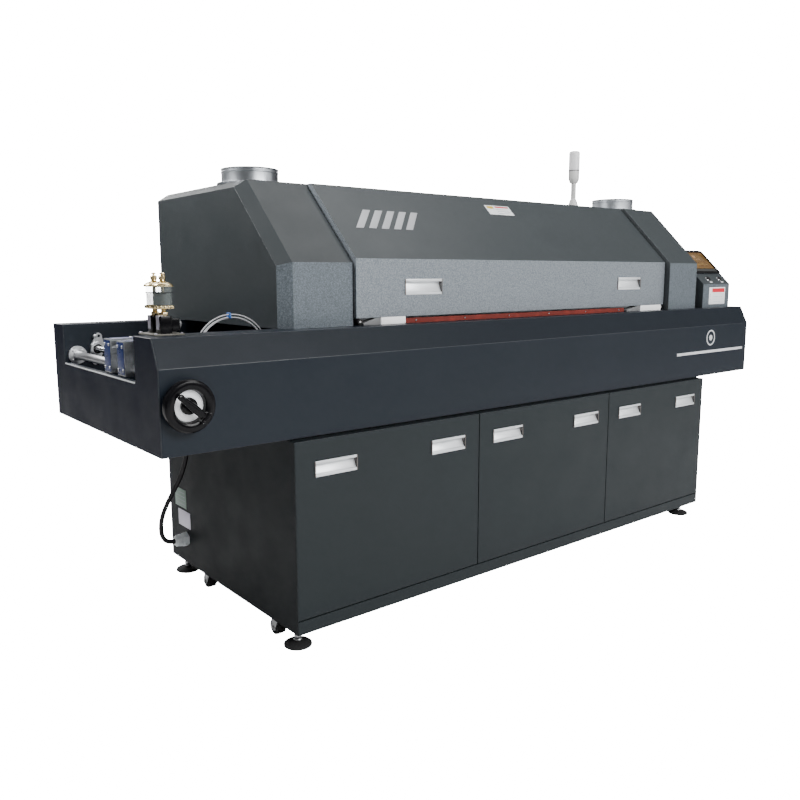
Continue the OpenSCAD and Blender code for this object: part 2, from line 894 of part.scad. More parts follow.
module crank_grip() {
    length = 80;
    color([0.07, 0.07, 0.08])
        on_wheel()
            translate([grip_pivot[0], grip_pivot[1], -grip_y])
                rotate(-grip_tilt)
                    difference() {
                        union() {
                            rotate([90, 0, 0])
                                translate([0, 0, -8.5])
                                    cylinder(r = 6.5, h = 17);
                            rotate([0, -90, 0])
                                cylinder(r = 5.5, h = 20);
                            rotate([0, -90, 0])
                                translate([0, 0, 14])
                                    cylinder(r = 7.5, h = length - 20);
                            rotate([0, -90, 0])
                                translate([0, 0, length - 6])
                                    cylinder(r1 = 7.5, r2 = 5.5, h = 6);
                        }
                        rotate([90, 0, 0])
                            translate([0, 0, -10])
                                cylinder(r = 2.5 + run, h = 20);
                    }
}

module drive_shaft() {
    color([0.72, 0.73, 0.75]) {
        rod_y(drive_x, [front_box + 1, trough_back + 40], drive_z, screw_d / 2);
        rod_y(drive_x, [rail_y + rail_w + 4, rail_y + rail_w + 9], drive_z, 20);
    }
}

module drive_motor() {
    y = [trough_back + sheet + 1, beam_depth - sheet - 3];
    color([0.3, 0.32, 0.34])
        difference() {
            union() {
                block(both(drive_x, 45), y, span(drive_z, -60, 45));
                rod_x([drive_x - 190, drive_x - 45], (y[0] + y[1]) / 2, drive_z - 20, 38);
                block(both(drive_x, 45), y, [tray_top, drive_z - 60]);
            }
            rod_y(drive_x, [y[0] - slip, trough_back + 45], drive_z, screw_d / 2 + run);
        }
}

// ---- electrics ----

module electrical_panel() {
    y = cab_back - 58;
    module device(x, z, w, h, d) {
        block([x, x + w], [y - d, y], [z, z + h]);
    }
    color([0.8, 0.8, 0.78]) {
        block([450, 2040], [y, y + 3], [120, 500]);
        // circuit breakers
        for (i = [0:7]) device(500 + i * 27, 400, 26, 80, 70);
        // power supply and programmable controller
        device(800, 380, 200, 110, 60);
        device(1040, 390, 240, 95, 75);
        // solid-state relays on their heat sink
        device(500, 180, 520, 120, 20);
        for (i = [0:7]) device(515 + i * 63, 205, 45, 60, 48);
        // fan drives
        for (i = [0:2]) device(1340 + i * 130, 330, 90, 150, 120);
        // terminal strip
        device(1100, 180, 800, 40, 45);
        // stand-off feet down to the floor of the cabinet
        for (x = [470, 1240, 2000])
            block([x, x + 30], [y, y + 3], [cab_bottom + sheet, 120]);
    }
}

// ---- beacon and console ----

module beacon_mast() {
    color([0.93, 0.93, 0.91])
        translate([beacon[0], beacon[1], 0])
            rotate_extrude()
                polygon([[0, roof], [26, roof], [26, roof + 22], [15, roof + 56], [12, roof + 62],
                         [10.5, roof + 64], [10.5, roof + 128], [16, roof + 130], [22, roof + 145],
                         [22.5, roof + 180], [0, roof + 180]]);
}

module beacon_lens() {
    color([0.97, 0.97, 0.98])
        translate([beacon[0], beacon[1], 0])
            rotate_extrude()
                polygon([[0, roof + 180], [22.5, roof + 180], [22.5, roof + 250], [20, roof + 257],
                         [12, roof + 260], [0, roof + 260]]);
}

console_lean = atan2(console_top - console_bend, 200 - console_front);
// moves a shape drawn on the console's leaning face, with Z out of the face, into place
module on_console(x) {
    translate([x, console_front, console_bend])
        rotate([console_lean, 0, 0])
            children();
}

module console_housing() {
    s = sheet;
    color(steel_grey)
        difference() {
            along_x(console_x, [
                [console_front, beam_top], [console_front, console_bend], [200, console_top],
                [console_back, console_top], [console_back, 900], [front_box, beam_top]
            ]);
            along_x(console_x + [s, -s], [
                [console_front + s, beam_top - slip], [console_front + s, console_bend - 1], [201, console_top - s],
                [console_back - s, console_top - s], [console_back - s, 901], [front_box - s, beam_top - slip]
            ]);
            on_console((console_x[0] + console_x[1]) / 2)
                translate([-86, 64, -4])
                    cube([172, 118, 8]);
            for (x = button_x)
                on_console(x)
                    translate([0, 28, -6])
                        cylinder(r = 9.5 + run, h = 12);
        }
}

module touch_screen() {
    color([0.05, 0.05, 0.05])
        on_console((console_x[0] + console_x[1]) / 2) {
            translate([-96, 58, 0])
                cube([192, 130, 5]);
            translate([-85, 65, -30])
                cube([170, 116, 30]);
        }
}

module button(x) {
    color([0.88, 0.88, 0.86])
        on_console(x)
            translate([0, 28, -12])
                cylinder(r = 9.5, h = 19);
}

module left_button() button(button_x[0]);
module right_button() button(button_x[1]);

// ---- chain lubricators ----

module lubricator_valves() {
    color([0.12, 0.12, 0.13]) {
        block([30, 100], [lube_y[0] - 22, lube_y[1] + 26], [beam_top, beam_top + 4]);
        for (y = lube_y) {
            block(both(lube_x, 14), both(y, 16), [beam_top + 4, beam_top + 44]);
            block(span(lube_x, 14, 34), both(y, 11), [beam_top + 10, beam_top + 38]);
        }
    }
}

module lubricator_brass() {
    color([0.8, 0.62, 0.25])
        for (y = lube_y)
            translate([lube_x, y, beam_top + 44])
                rotate_extrude()
                    polygon([[0, 0], [9, 0], [9, 8], [6, 10], [6, 14], [20, 16], [22, 20], [4, 20],
                             [4, 64], [22, 64], [22, 70], [9, 73], [6, 76], [8, 80], [8, 92], [5, 95],
                             [0, 95]]);
}

module lubricator_glasses() {
    color([0.8, 0.85, 0.85, 0.5])
        for (y = lube_y)
            difference() {
                rod_z(lube_x, y, span(beam_top, 64, 108), 21);
                rod_z(lube_x, y, span(beam_top, 63, 109), 18);
            }
}

// ---- leads ----

module hex_rod(d, h) {
    cylinder(d = d, h = h, $fn = 6);
}

module cable_glands() {
    bore = lead_d / 2;
    color([0.55, 0.56, 0.57]) {
        // gland on the left side panel
        translate([cab_left, 640, 133])
            rotate([0, -90, 0])
                difference() {
                    union() {
                        hex_rod(46, 14);
                        cylinder(r = 19, h = 26);
                        translate([0, 0, 24]) hex_rod(38, 12);
                        translate([0, 0, 30]) cylinder(r = 14, h = 10);
                        translate([0, 0, -12]) cylinder(r = 16, h = 12);
                        translate([0, 0, -9]) hex_rod(44, 6);
                    }
                    translate([0, 0, -13]) cylinder(r = bore - 1, h = 40);
                }
        // gland under the beam
        translate([303, 550, 534])
            difference() {
                union() {
                    cylinder(r = 13, h = 20);
                    translate([0, 0, 10]) hex_rod(38, 10);
                }
                translate([0, 0, 8]) cylinder(r = bore - 1, h = 40);
            }
        // socket for the thermocouple lead, on the front box's inner wall
        block([344, 364], [front_box, hank[1] - hank_t / 2], [640, 660]);
    }
}

// a tube swept along points: each ring stands square to the route
function ring(points, i, r, sides) =
    let (
        last = len(points) - 1,
        way = points[min(i + 1, last)] - points[max(i - 1, 0)],
        t = way / norm(way),
        side = cross(t, [0, 1, 0]),
        u = side / norm(side),
        v = cross(t, u)
    )
    [for (k = [0:sides - 1]) points[i] + r * (cos(k * 360 / sides) * u + sin(k * 360 / sides) * v)];

module swept_tube(points, r, sides) {
    rings = len(points);
    corners = [for (i = [0:rings - 1]) each ring(points, i, r, sides)];
    walls = [
        for (i = [0:rings - 2], k = [0:sides - 1])
            let (m = (k + 1) % sides)
            [i * sides + k, i * sides + m, (i + 1) * sides + m, (i + 1) * sides + k]
    ];
    start_cap = [for (k = [sides - 1:-1:0]) k];
    end_cap = [for (k = [0:sides - 1]) (rings - 1) * sides + k];
    polyhedron(points = corners, faces = concat(walls, [start_cap, end_cap]));
}

module control_lead() {
    color([0.06, 0.06, 0.06])
        swept_tube(lead_route, lead_d / 2, 10);
}

// long loops of lead tied into an upright hank, with its plug resting inside
module thermocouple_lead() {
    high = hank_top - hank_r;
    low = tray_top + hank_r;
    module oval(r) {
        translate([hank[0], high]) circle(r);
        translate([hank[0], low]) circle(r);
        translate([hank[0] - r, low]) square([2 * r, high - low]);
    }
    color([0.8, 0.8, 0.82]) {
        translate([0, hank[1] + hank_t / 2, 0])
            rotate([90, 0, 0])
                linear_extrude(hank_t)
                    difference() {
                        oval(hank_r);
                        oval(hank_r - 12);
                    }
        block(both(hank[0], 18), both(hank[1], 6), span(tray_top, 11, 34));
    }
}

// ---- feet and casters ----

module levelling_feet() {
    color([0.08, 0.08, 0.08])
        for (x = foot_x, y = foot_y) {
            rod_z(x, y, [0, 9], 37);
            rod_z(x, y, [9, 16], 16);
            rod_z(x, y, [16, cab_bottom + 20], 6);
            rod_z(x, y, [cab_bottom - 10, cab_bottom], 10);
        }
}

caster_places = [for (x = caster_x, y = caster_y) [x, y]];
caster_axle = caster_lift + wheel_r;
module caster_fork(i) {
    p = caster_places[i];
    top = cab_bottom;
    color([0.7, 0.72, 0.73])
        translate([p[0], p[1], 0]) {
            rod_z(0, 0, [top - 3, top], 22);
            rod_z(0, 0, [top - 6, top - 3], 17);
            for (k = [-1, 1])
                along_x(k > 0 ? [15, 17] : [-17, -15], [
                    [-14, top - 5], [16, top - 5], [swivel + 9, caster_axle - 7], [swivel - 9, caster_axle - 7]
                ]);
            block([-17, 17], [-14, 16], [top - 7, top - 5]);
            rod_x([-18, 18], swivel, caster_axle, 3);
        }
}

module caster_wheel(i) {
    p = caster_places[i];
    color([0.06, 0.06, 0.06])
        translate([p[0], p[1] + swivel, caster_axle])
            rotate([0, 90, 0])
                difference() {
                    union() {
                        cylinder(r = wheel_r, h = 26, center = true);
                        cylinder(r = 7, h = 29, center = true);
                    }
                    cylinder(r = 3 + run, h = 30, center = true);
                }
}

module caster_fork_1() caster_fork(0);
module caster_fork_2() caster_fork(1);
module caster_fork_3() caster_fork(2);
module caster_fork_4() caster_fork(3);
module caster_wheel_1() caster_wheel(0);
module caster_wheel_2() caster_wheel(1);
module caster_wheel_3() caster_wheel(2);
module caster_wheel_4() caster_wheel(3);

// moves the whole oven so that the origin is under its middle
module placed() {
    translate([-beam_length / 2, -y_centre, 0])
        children();
}

placed() base_frame();
placed() left_side_panel();
placed() right_side_panel();
placed() rear_covers();
placed() front_door_1();
placed() front_door_2();
placed() front_door_3();
placed() door_handles_1();
placed() door_handles_2();
placed() door_handles_3();
placed() beam_front_cover();
placed() beam_rear_cover();
placed() beam_tray();
placed() left_hood();
placed() right_hood();
placed() exhaust_collars();
placed() lid_shell();
placed() lid_handles();
placed() upper_heater_box();
placed() blower_motors();
placed() blower_impeller_1();
placed() blower_impeller_2();
placed() lid_hinges();
placed() strut_cylinders();
placed() strut_rods();
placed() lid_seal();
placed() lid_rest_pads();
placed() lower_heater_box();
placed() fixed_rail();
placed() moving_rail();
placed() rail_guides();
placed() infeed_lead_screw();
placed() outfeed_lead_screw();
placed() width_chains();
placed() handwheel();
placed() crank_grip();
placed() drive_shaft();
placed() drive_motor();
placed() electrical_panel();
placed() beacon_mast();
placed() beacon_lens();
placed() console_housing();
placed() touch_screen();
placed() left_button();
placed() right_button();
placed() lubricator_valves();
placed() lubricator_glasses();
placed() lubricator_brass();
placed() cable_glands();
placed() control_lead();
placed() thermocouple_lead();
placed() levelling_feet();
placed() caster_fork_1();
placed() caster_fork_2();
placed() caster_fork_3();
placed() caster_fork_4();
placed() caster_wheel_1();
placed() caster_wheel_2();
placed() caster_wheel_3();
placed() caster_wheel_4();
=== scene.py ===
"""A floor-standing in-line reflow oven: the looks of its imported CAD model.

Pieces are drawn in millimetres from the beam's left end (x), the beam's front face (y) and the
floor (z), and at() turns such a point into the frame's metres.
"""
import math
import bpy
import bmesh
from mathutils import Matrix, Vector


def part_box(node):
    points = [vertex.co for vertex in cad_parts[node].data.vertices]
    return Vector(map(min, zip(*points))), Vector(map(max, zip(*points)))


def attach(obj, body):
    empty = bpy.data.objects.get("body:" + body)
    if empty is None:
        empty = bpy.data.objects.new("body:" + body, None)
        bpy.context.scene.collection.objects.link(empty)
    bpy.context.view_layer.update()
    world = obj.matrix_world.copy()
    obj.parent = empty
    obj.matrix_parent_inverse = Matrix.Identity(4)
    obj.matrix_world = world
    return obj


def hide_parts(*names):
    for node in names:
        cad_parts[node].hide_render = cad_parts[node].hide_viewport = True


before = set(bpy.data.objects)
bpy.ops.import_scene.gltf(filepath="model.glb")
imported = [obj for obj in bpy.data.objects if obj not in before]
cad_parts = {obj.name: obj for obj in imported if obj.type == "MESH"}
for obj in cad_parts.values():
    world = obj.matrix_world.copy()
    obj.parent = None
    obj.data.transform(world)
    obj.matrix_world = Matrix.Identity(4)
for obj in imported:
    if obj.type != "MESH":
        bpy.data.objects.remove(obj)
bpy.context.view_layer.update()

MM = 0.001
BEAM_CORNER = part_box("beam_tray")[0]
TO_FRAME = Matrix.Translation((BEAM_CORNER.x, BEAM_CORNER.y, 0)) @ Matrix.Scale(MM, 4)

# heights, faces and places that pieces share, in millimetres
BEAM_TOP = 812
TROUGH_BACK = 655
ROOF = 1196
DOOR_FACE = -10
DOORS = ((327, 949.5), (952.5, 1567.5), (1570.5, 2163))  # left and right edges
LID_FRONT = 77
LID_BEND = 988
LID_BOTTOM = 832
LID_LEFT_EDGE = 579
COLLARS = ((482, 456), (2100.5, 392))  # centres (x, y) of the exhaust collars
WHEEL_X, WHEEL_Z = 60, 666  # the handwheel's axis
SHAFT_PLACES = ((88, 741), (2412, 741), (2350, 745))  # axes (x, z) of both screws and the drive shaft
SCREW_Z = 741
GUIDE_BAR_X, GUIDE_BAR_Z = (34, 608, 1972, 2466), 727
FEET_X, FEET_Y = (358, 2132), (47, 718)
CASTERS_X, CASTERS_Y = (351, 2139), (122, 528)
CASTER_TRAIL, CASTER_AXLE_Z = 12, 23.5
CONSOLE_FRONT, CONSOLE_BEND = 60, 905
CONSOLE_LEAN = math.atan2(137, 140)
BUTTONS = {"left": 2318, "right": 2402}
BUTTON_UP = 28  # from the bend up the console's slope
LENS_PLACE = (2080, 575, ROOF + 180)


def at(x, y, z):
    """A point of the beam's own frame, in millimetres, as a point of the row frame in metres."""
    return TO_FRAME @ Vector((x, y, z))


def linked(name, data):
    """A new object of the scene that shows the data."""
    obj = bpy.data.objects.new(name, data)
    bpy.context.scene.collection.objects.link(obj)
    return obj


def give_materials(mesh, materials):
    for material in materials if isinstance(materials, list) else [materials]:
        mesh.materials.append(material)


def band(part, a, b):
    """Joins two closed loops of equally many points with quads."""
    for i in range(len(a)):
        j = (i + 1) % len(a)
        part.faces.new((a[i], a[j], b[j], b[i]))


# ---- camera ----

def make_camera():
    yaw, pitch, roll = (math.radians(a) for a in (38.822, -8.639, -0.155))
    forward = Vector((math.sin(yaw) * math.cos(pitch), math.cos(yaw) * math.cos(pitch), math.sin(pitch)))
    level = Vector((math.cos(yaw), -math.sin(yaw), 0))
    upright = level.cross(forward)
    right = math.cos(roll) * level + math.sin(roll) * upright
    up = math.cos(roll) * upright - math.sin(roll) * level
    data = bpy.data.cameras.new("camera")
    data.lens = 35.0
    data.sensor_width = 36
    data.shift_x = 0.0069
    data.shift_y = -0.0089
    data.clip_end = 60
    camera = linked("camera", data)
    turn = Matrix((right, up, -forward)).transposed()
    camera.matrix_world = Matrix.Translation((-1.8817, -1.9731, 0.9452)) @ turn.to_4x4()
    bpy.context.scene.camera = camera


make_camera()


# ---- materials ----

class Recipe:
    """A node material being put together. Its coordinates are the object's own, in metres."""

    def __init__(self, name, colour, roughness, metallic=0.0):
        self.material = bpy.data.materials.new(name)
        self.material.use_nodes = True
        self.material.diffuse_color = (*colour[:3], 1)
        self.tree = self.material.node_tree
        self.shader = self.tree.nodes["Principled BSDF"]
        self.set("Base Color", (*colour[:3], 1))
        self.set("Roughness", roughness)
        self.set("Metallic", metallic)
        self.place = self.tree.nodes.new("ShaderNodeTexCoord").outputs["Object"]

    def feed(self, socket, value):
        """Gives an input a value, or links it to another node's output."""
        if isinstance(value, bpy.types.NodeSocket):
            self.tree.links.new(value, socket)
        else:
            socket.default_value = value

    def set(self, name, value):
        self.feed(self.shader.inputs[name], value)

    def node(self, kind, values=None, **settings):
        made = self.tree.nodes.new("ShaderNode" + kind)
        for name, value in settings.items():
            setattr(made, name, value)
        for name, value in (values or {}).items():
            self.feed(made.inputs[name], value)
        return made

    def noise(self, scale, detail=3.0, stretch=None):
        place = self.place
        if stretch:
            place = self.node("Mapping", {"Vector": place, "Scale": stretch}).outputs[0]
        values = {"Vector": place, "Scale": scale, "Detail": detail}
        return self.node("TexNoise", values).outputs["Fac"]

    def cells(self, scale, feature="F1"):
        made = self.node("TexVoronoi", {"Vector": self.place, "Scale": scale}, feature=feature)
        return made.outputs["Distance"]

    def spread(self, value, low, high, to_low=0.0, to_high=1.0):
        values = {"Value": value, "From Min": low, "From Max": high, "To Min": to_low, "To Max": to_high}
        return self.node("MapRange", values).outputs[0]

    def mix(self, factor, a, b):
        made = self.node("Mix", data_type="RGBA")
        for i, value in ((0, factor), (6, a), (7, b)):
            self.feed(made.inputs[i], (*value[:3], 1) if isinstance(value, tuple) else value)
        return made.outputs[2]

    def colours(self, factor, a, b):
        self.set("Base Color", self.mix(factor, a, b))

    def rough(self, value, low, high, to_low, to_high):
        self.set("Roughness", self.spread(value, low, high, to_low, to_high))

    def bump(self, height, depth, strength=1.0):
        values = {"Height": height, "Distance": depth, "Strength": strength}
        self.set("Normal", self.node("Bump", values).outputs[0])


def shade(colour, factor):
    return tuple(min(1.0, c * factor) for c in colour[:3])


def painted(name, colour, roughness, speckle=0.12, shine=0.5):
    """Powder coat: an even colour with a fine orange-peel texture and faint cloudiness."""
    r = Recipe(name, colour, roughness)
    cloud = r.noise(1.7, 2.0)
    fine = r.noise(1100, 2.0)
    base = r.mix(r.spread(cloud, 0.3, 0.7), shade(colour, 0.92), shade(colour, 1.08))
    flecks = r.mix(r.spread(fine, 0.35, 0.65), shade(colour, 1 - speckle), shade(colour, 1 + speckle))
    r.colours(0.5, base, flecks)
    r.rough(r.noise(9, 4.0), 0.3, 0.7, roughness - 0.05, roughness + 0.06)
    r.set("Specular IOR Level", shine)
    r.bump(fine, 0.00012)
    return r.material


def hammertone(name, colour):
    """Metallic structured paint: silver flecks in a grey ground, over a pebbled surface."""
    r = Recipe(name, colour, 0.42, 0.35)
    cells = r.cells(180)
    fine = r.noise(330, 2.0)
    patch = r.spread(cells, 0.0, 0.9)
    flecks = r.mix(patch, shade(colour, 1.3), shade(colour, 0.66))
    specks = r.mix(r.spread(fine, 0.48, 0.62), shade(colour, 0.78), shade(colour, 1.6))
    r.colours(0.5, flecks, specks)
    r.rough(fine, 0.3, 0.7, 0.34, 0.52)
    r.bump(cells, 0.0004, 0.7)
    return r.material


def brushed(name, colour, roughness, stretch=(1, 1, 40), scale=60, wear=0.1, metal=1.0):
    """Metal with fine lines along one axis; the stretch is large across the lines."""
    r = Recipe(name, colour, roughness, metal)
    lines = r.noise(scale, 4.0, stretch)
    patches = r.noise(14, 3.0)
    base = r.mix(r.spread(lines, 0.3, 0.7), shade(colour, 1 - wear), shade(colour, 1 + wear))
    r.colours(r.spread(patches, 0.4, 0.8, 0.0, 0.4), base, shade(colour, 0.8))
    r.rough(lines, 0.2, 0.8, roughness - 0.06, roughness + 0.1)
    r.bump(lines, 0.00005, 0.6)
    return r.material


def galvanised(name, colour):
    """Zinc-coated sheet with soft spangles."""
    r = Recipe(name, colour, 0.38, 1.0)
    spangle = r.cells(60, "SMOOTH_F1")
    smudge = r.noise(7, 4.0)
    r.colours(r.spread(spangle, 0.1, 0.8), shade(colour, 1.06), shade(colour, 0.86))
    r.rough(smudge, 0.3, 0.7, 0.3, 0.5)
    r.bump(spangle, 0.00005, 0.5)
    return r.material


def polished(name, colour, roughness=0.12):
    """Plated or turned metal with faint smudges and turning marks."""
    r = Recipe(name, colour, roughness, 1.0)
    smudge = r.noise(40, 4.0)
    marks = r.noise(900, 2.0)
    r.colours(r.spread(smudge, 0.35, 0.7), colour, shade(colour, 0.85))
    r.rough(smudge, 0.3, 0.7, roughness, roughness + 0.1)
    r.bump(marks, 0.00002, 0.5)
    return r.material


def plastic(name, colour, roughness, texture=0.00006, sheen=0.5, glow=0.0):
    """Moulded plastic with a spark-eroded grain and slight tone changes."""
    r = Recipe(name, colour, roughness)
    fine = r.noise(900, 3.0)
    broad = r.noise(16, 2.0)
    r.colours(r.spread(broad, 0.3, 0.7), shade(colour, 0.93), shade(colour, 1.07))
    r.rough(broad, 0.3, 0.7, roughness, roughness + 0.08)
    r.set("Specular IOR Level", sheen)
    # glow is painted light: an even emission in the plastic's own colour, for parts that are no lamp
    r.set("Emission Color", (*colour, 1))
    r.set("Emission Strength", glow)
    r.bump(fine, texture, 0.6)
    return r.material


def rubber(name, colour, roughness=0.62):
    """Matt rubber: dusty in the lows, with a fine sandy surface."""
    r = Recipe(name, colour, roughness)
    dust = r.noise(26, 5.0)
    fine = r.noise(1400, 2.0)
    r.colours(r.spread(dust, 0.5, 0.8), colour, shade(colour, 1.8))
    r.rough(dust, 0.3, 0.7, roughness, roughness + 0.15)
    r.set("Specular IOR Level", 0.3)
    r.bump(fine, 0.00012, 0.6)
    return r.material


def glass(name, colour, clearness):
    """Thin clear wall: mostly see-through, with faint streaks and bright reflections."""
    roughness = 0.04
    r = Recipe(name, colour, roughness)
    streak = r.noise(40, 3.0, (1, 1, 0.2))
    r.colours(streak, colour, shade(colour, 0.9))
    r.rough(streak, 0.4, 0.7, roughness, roughness + 0.04)
    r.set("Alpha", r.spread(streak, 0.3, 0.7, 1 - clearness, 1.04 - clearness))
    r.set("Specular IOR Level", 0.9)
    return r.material


def frosted(name, colour):
    """Milky plastic that light passes into, with a faint even white glow: painted light that brightens it."""
    r = Recipe(name, colour, 0.35)
    bands = r.noise(30, 2.0, (1, 1, 3))
    r.colours(bands, colour, shade(colour, 0.93))
    r.set("Subsurface Weight", 0.25)
    r.set("Subsurface Radius", (0.01, 0.01, 0.01))
    r.rough(bands, 0.3, 0.7, 0.28, 0.42)
    # painted light: an even white glow that brightens the lens
    r.set("Emission Color", (1, 1, 1, 1))
    r.set("Emission Strength", 0.25)
    r.bump(r.noise(700, 2.0), 0.00005, 0.5)
    return r.material


def blue_film():
    """Protective film over aluminium, with faint creases."""
    r = Recipe("blue_film", (0.02, 0.035, 0.13), 0.3, 0.15)
    creases = r.noise(60, 5.0, (1, 1, 4))
    r.colours(creases, (0.014, 0.026, 0.1), (0.03, 0.05, 0.17))
    r.rough(creases, 0.3, 0.7, 0.22, 0.45)
    r.bump(creases, 0.0004, 0.5)
    return r.material


def display_glass():
    """The touch-screen's picture: an amber ground with soft darker bars and no lettering."""
    r = Recipe("display_glass", (0.2, 0.1, 0.03), 0.16)
    bars = r.noise(18, 1.0, (0.4, 3, 3))
    glow = r.mix(r.spread(bars, 0.4, 0.6), (0.2, 0.115, 0.038), (0.16, 0.09, 0.031))
    r.set("Base Color", glow)
    r.set("Emission Color", glow)
    r.set("Emission Strength", 0.35)
    r.set("Coat Weight", 0.4)
    r.rough(r.noise(30, 3.0), 0.3, 0.7, 0.12, 0.22)
    return r.material


CABINET = painted("cabinet_paint", (0.0155, 0.0215, 0.0245), 0.42, shine=0.3)
BEAM = painted("beam_paint", (0.0095, 0.0148, 0.0228), 0.38, shine=0.3)
# painted highlight: a lighter copy of the beam paint for the rounded bends, standing in for the light line
# along each bend
BEAM_EDGE_HIGHLIGHT = painted("beam_edge_highlight_paint", (0.03, 0.036, 0.044), 0.32, shine=0.4)
# painted shade: a darker, duller copy of the beam paint for the faces that look left, standing in for shade
# on the beam's ends
BEAM_END_SHADE = painted("beam_end_shade_paint", (0.0045, 0.0068, 0.0155), 0.42, shine=0.08)
# painted light: a slightly lighter, less shiny copy of the beam paint for the upward leaning face, standing
# in for how light falls on it
BEAM_LEANING_LIT = painted("beam_leaning_lit_paint", (0.0115, 0.0158, 0.022), 0.45, shine=0.14)
# painted shade: a darker, duller copy of the cabinet paint for the faces that look left, standing in for
# shade on that side
SIDE_SHADE = painted("left_face_shade_paint", (0.0115, 0.0145, 0.017), 0.48, shine=0.1)
HOOD = painted("hood_paint", (0.036, 0.043, 0.0465), 0.42, speckle=0.08, shine=0.4)
# lit and shaded copies of one hammertone: the lid front's lighter copy is painted light for the pool of light
# on its middle, while the hoods' and console's fronts take the darker copy
HAMMER_LIT = hammertone("lit_hammertone_paint", (0.245, 0.275, 0.305))
HAMMER_SHADED = hammertone("shaded_hammertone_paint", (0.142, 0.168, 0.191))
LID_PAINT = painted("lid_paint", (0.045, 0.054, 0.0585), 0.38, speckle=0.08, shine=0.5)
# painted highlight: a lighter paint for the rounded edges of the hoods, lid and console, standing in for the
# light lines along their bends
HOOD_EDGE_HIGHLIGHT = painted("hood_edge_highlight_paint", (0.09, 0.105, 0.112), 0.34, speckle=0.08, shine=0.5)
PULL = brushed("pull_aluminium", (0.93, 0.96, 1.0), 0.36, (40, 1, 1), 30, 0.04, 0.45)
PULL_END = plastic("pull_end_caps", (0.13, 0.115, 0.11), 0.35)
COLLAR = galvanised("collar_steel", (0.5, 0.53, 0.56))
ZINC = galvanised("zinc_sheet", (0.66, 0.68, 0.7))
BRIGHT = polished("bright_steel", (0.78, 0.79, 0.81), 0.14)
GUIDE = polished("guide_steel", (0.82, 0.83, 0.85), 0.3)
BOLT = polished("zinc_plated_bolts", (0.62, 0.63, 0.64), 0.28)
BRACKET = brushed("bracket_steel", (0.36, 0.37, 0.39), 0.36)
IMPELLER = brushed("impeller_aluminium", (0.6, 0.62, 0.64), 0.34)
RAIL = brushed("rail_aluminium", (0.66, 0.68, 0.7), 0.3, (1, 30, 30), 20, 0.08)
CHAIN = polished("chain_steel", (0.4, 0.4, 0.41), 0.3)
FILM = blue_film()
MOTOR = painted("motor_paint", (0.06, 0.1, 0.15), 0.35)
BLACK_STEEL = painted("black_gloss_paint", (0.012, 0.012, 0.014), 0.2)
SEAL = rubber("silicone_seal", (0.19, 0.028, 0.02), 0.5)
# painted light: a glow in their own colour brightens the white rest blocks, which sit in the lid's shade
WHITE_PAD = plastic("white_pad_plastic", (0.93, 0.94, 0.94), 0.45, glow=0.4)
BLACK = plastic("black_gloss_plastic", (0.004, 0.004, 0.005), 0.16, texture=0.00001, sheen=0.2)
BLACK_MATT = plastic("black_matt_plastic", (0.012, 0.012, 0.013), 0.45, sheen=0.35)
GREY_PLASTIC = plastic("grey_plastic", (0.2, 0.205, 0.21), 0.45)
WHITE = plastic("white_plastic", (0.8, 0.8, 0.78), 0.35)
# painted light: a glow in its own colour brightens the ring, which sits in the rim's shade
WHITE_RING = plastic("white_ring_enamel", (0.96, 0.98, 1.0), 0.3, glow=0.35)
LENS = frosted("frosted_lens", (0.88, 0.88, 0.9))
GLASS = glass("clear_glass", (0.4, 0.45, 0.45), 0.86)
BRASS = polished("brass", (0.92, 0.75, 0.43), 0.16)
OIL = glass("lubricating_oil", (0.07, 0.08, 0.075), 0.5)
GLAND = plastic("gland_nylon", (0.72, 0.76, 0.78), 0.45)
LEAD_BLACK = rubber("black_lead_sheath", (0.014, 0.014, 0.015), 0.42)
LEAD_GREY = plastic("grey_lead_sheath", (0.6, 0.6, 0.62), 0.5)
TIE = plastic("blue_cable_tie", (0.03, 0.14, 0.5), 0.4)
FOOT = rubber("foot_rubber", (0.02, 0.02, 0.021))
TYRE = rubber("caster_tyre_rubber", (0.025, 0.025, 0.026))
SCREEN = display_glass()
BEZEL = plastic("bezel_grey", (0.05, 0.052, 0.05), 0.4)
# painted light: a faint glow in their own colour brightens the white labels and plates
LABEL_WHITE = plastic("label_white", (0.93, 0.97, 1.0), 0.4, glow=0.2)
LABEL_AMBER = plastic("label_amber", (0.75, 0.5, 0.04), 0.4)
LABEL_RED = plastic("label_red", (0.7, 0.008, 0.03), 0.4)
LABEL_GREEN = plastic("label_grey_green", (0.25, 0.34, 0.29), 0.45)
LABEL_LILAC = brushed("label_silver_lilac", (0.6, 0.58, 0.66), 0.4, (1, 40, 1))
LABEL_GREY = plastic("label_grey_print", (0.4, 0.42, 0.45), 0.45)
MARK = plastic("printed_mark", (0.74, 0.75, 0.77), 0.4)
MARK_GREY = plastic("printed_mark_grey", (0.5, 0.51, 0.53), 0.4)
BASE_PLATE = plastic("lubricator_base_plate", (0.13, 0.127, 0.105), 0.42)
SCREEN_DARK = plastic("screen_shades", (0.16, 0.085, 0.03), 0.25)
SCREEN_PALE = plastic("screen_lights", (0.42, 0.25, 0.14), 0.25)


# ---- making pieces ----

# where a flat outline's (a, b) and its depth c go, by the axis it is drawn out along
DRAWN_OUT = {
    "x": lambda a, b, c: (c, a, b),
    "y": lambda a, b, c: (a, c, b),
    "z": lambda a, b, c: (a, b, c),
}
# shares of a screw head's radius and height
SCREW_HEAD = ((0, 0), (1, 0), (1, 0.5), (0.8, 0.9), (0.5, 1), (0.42, 0.9), (0.42, 0.35), (0, 0.35))


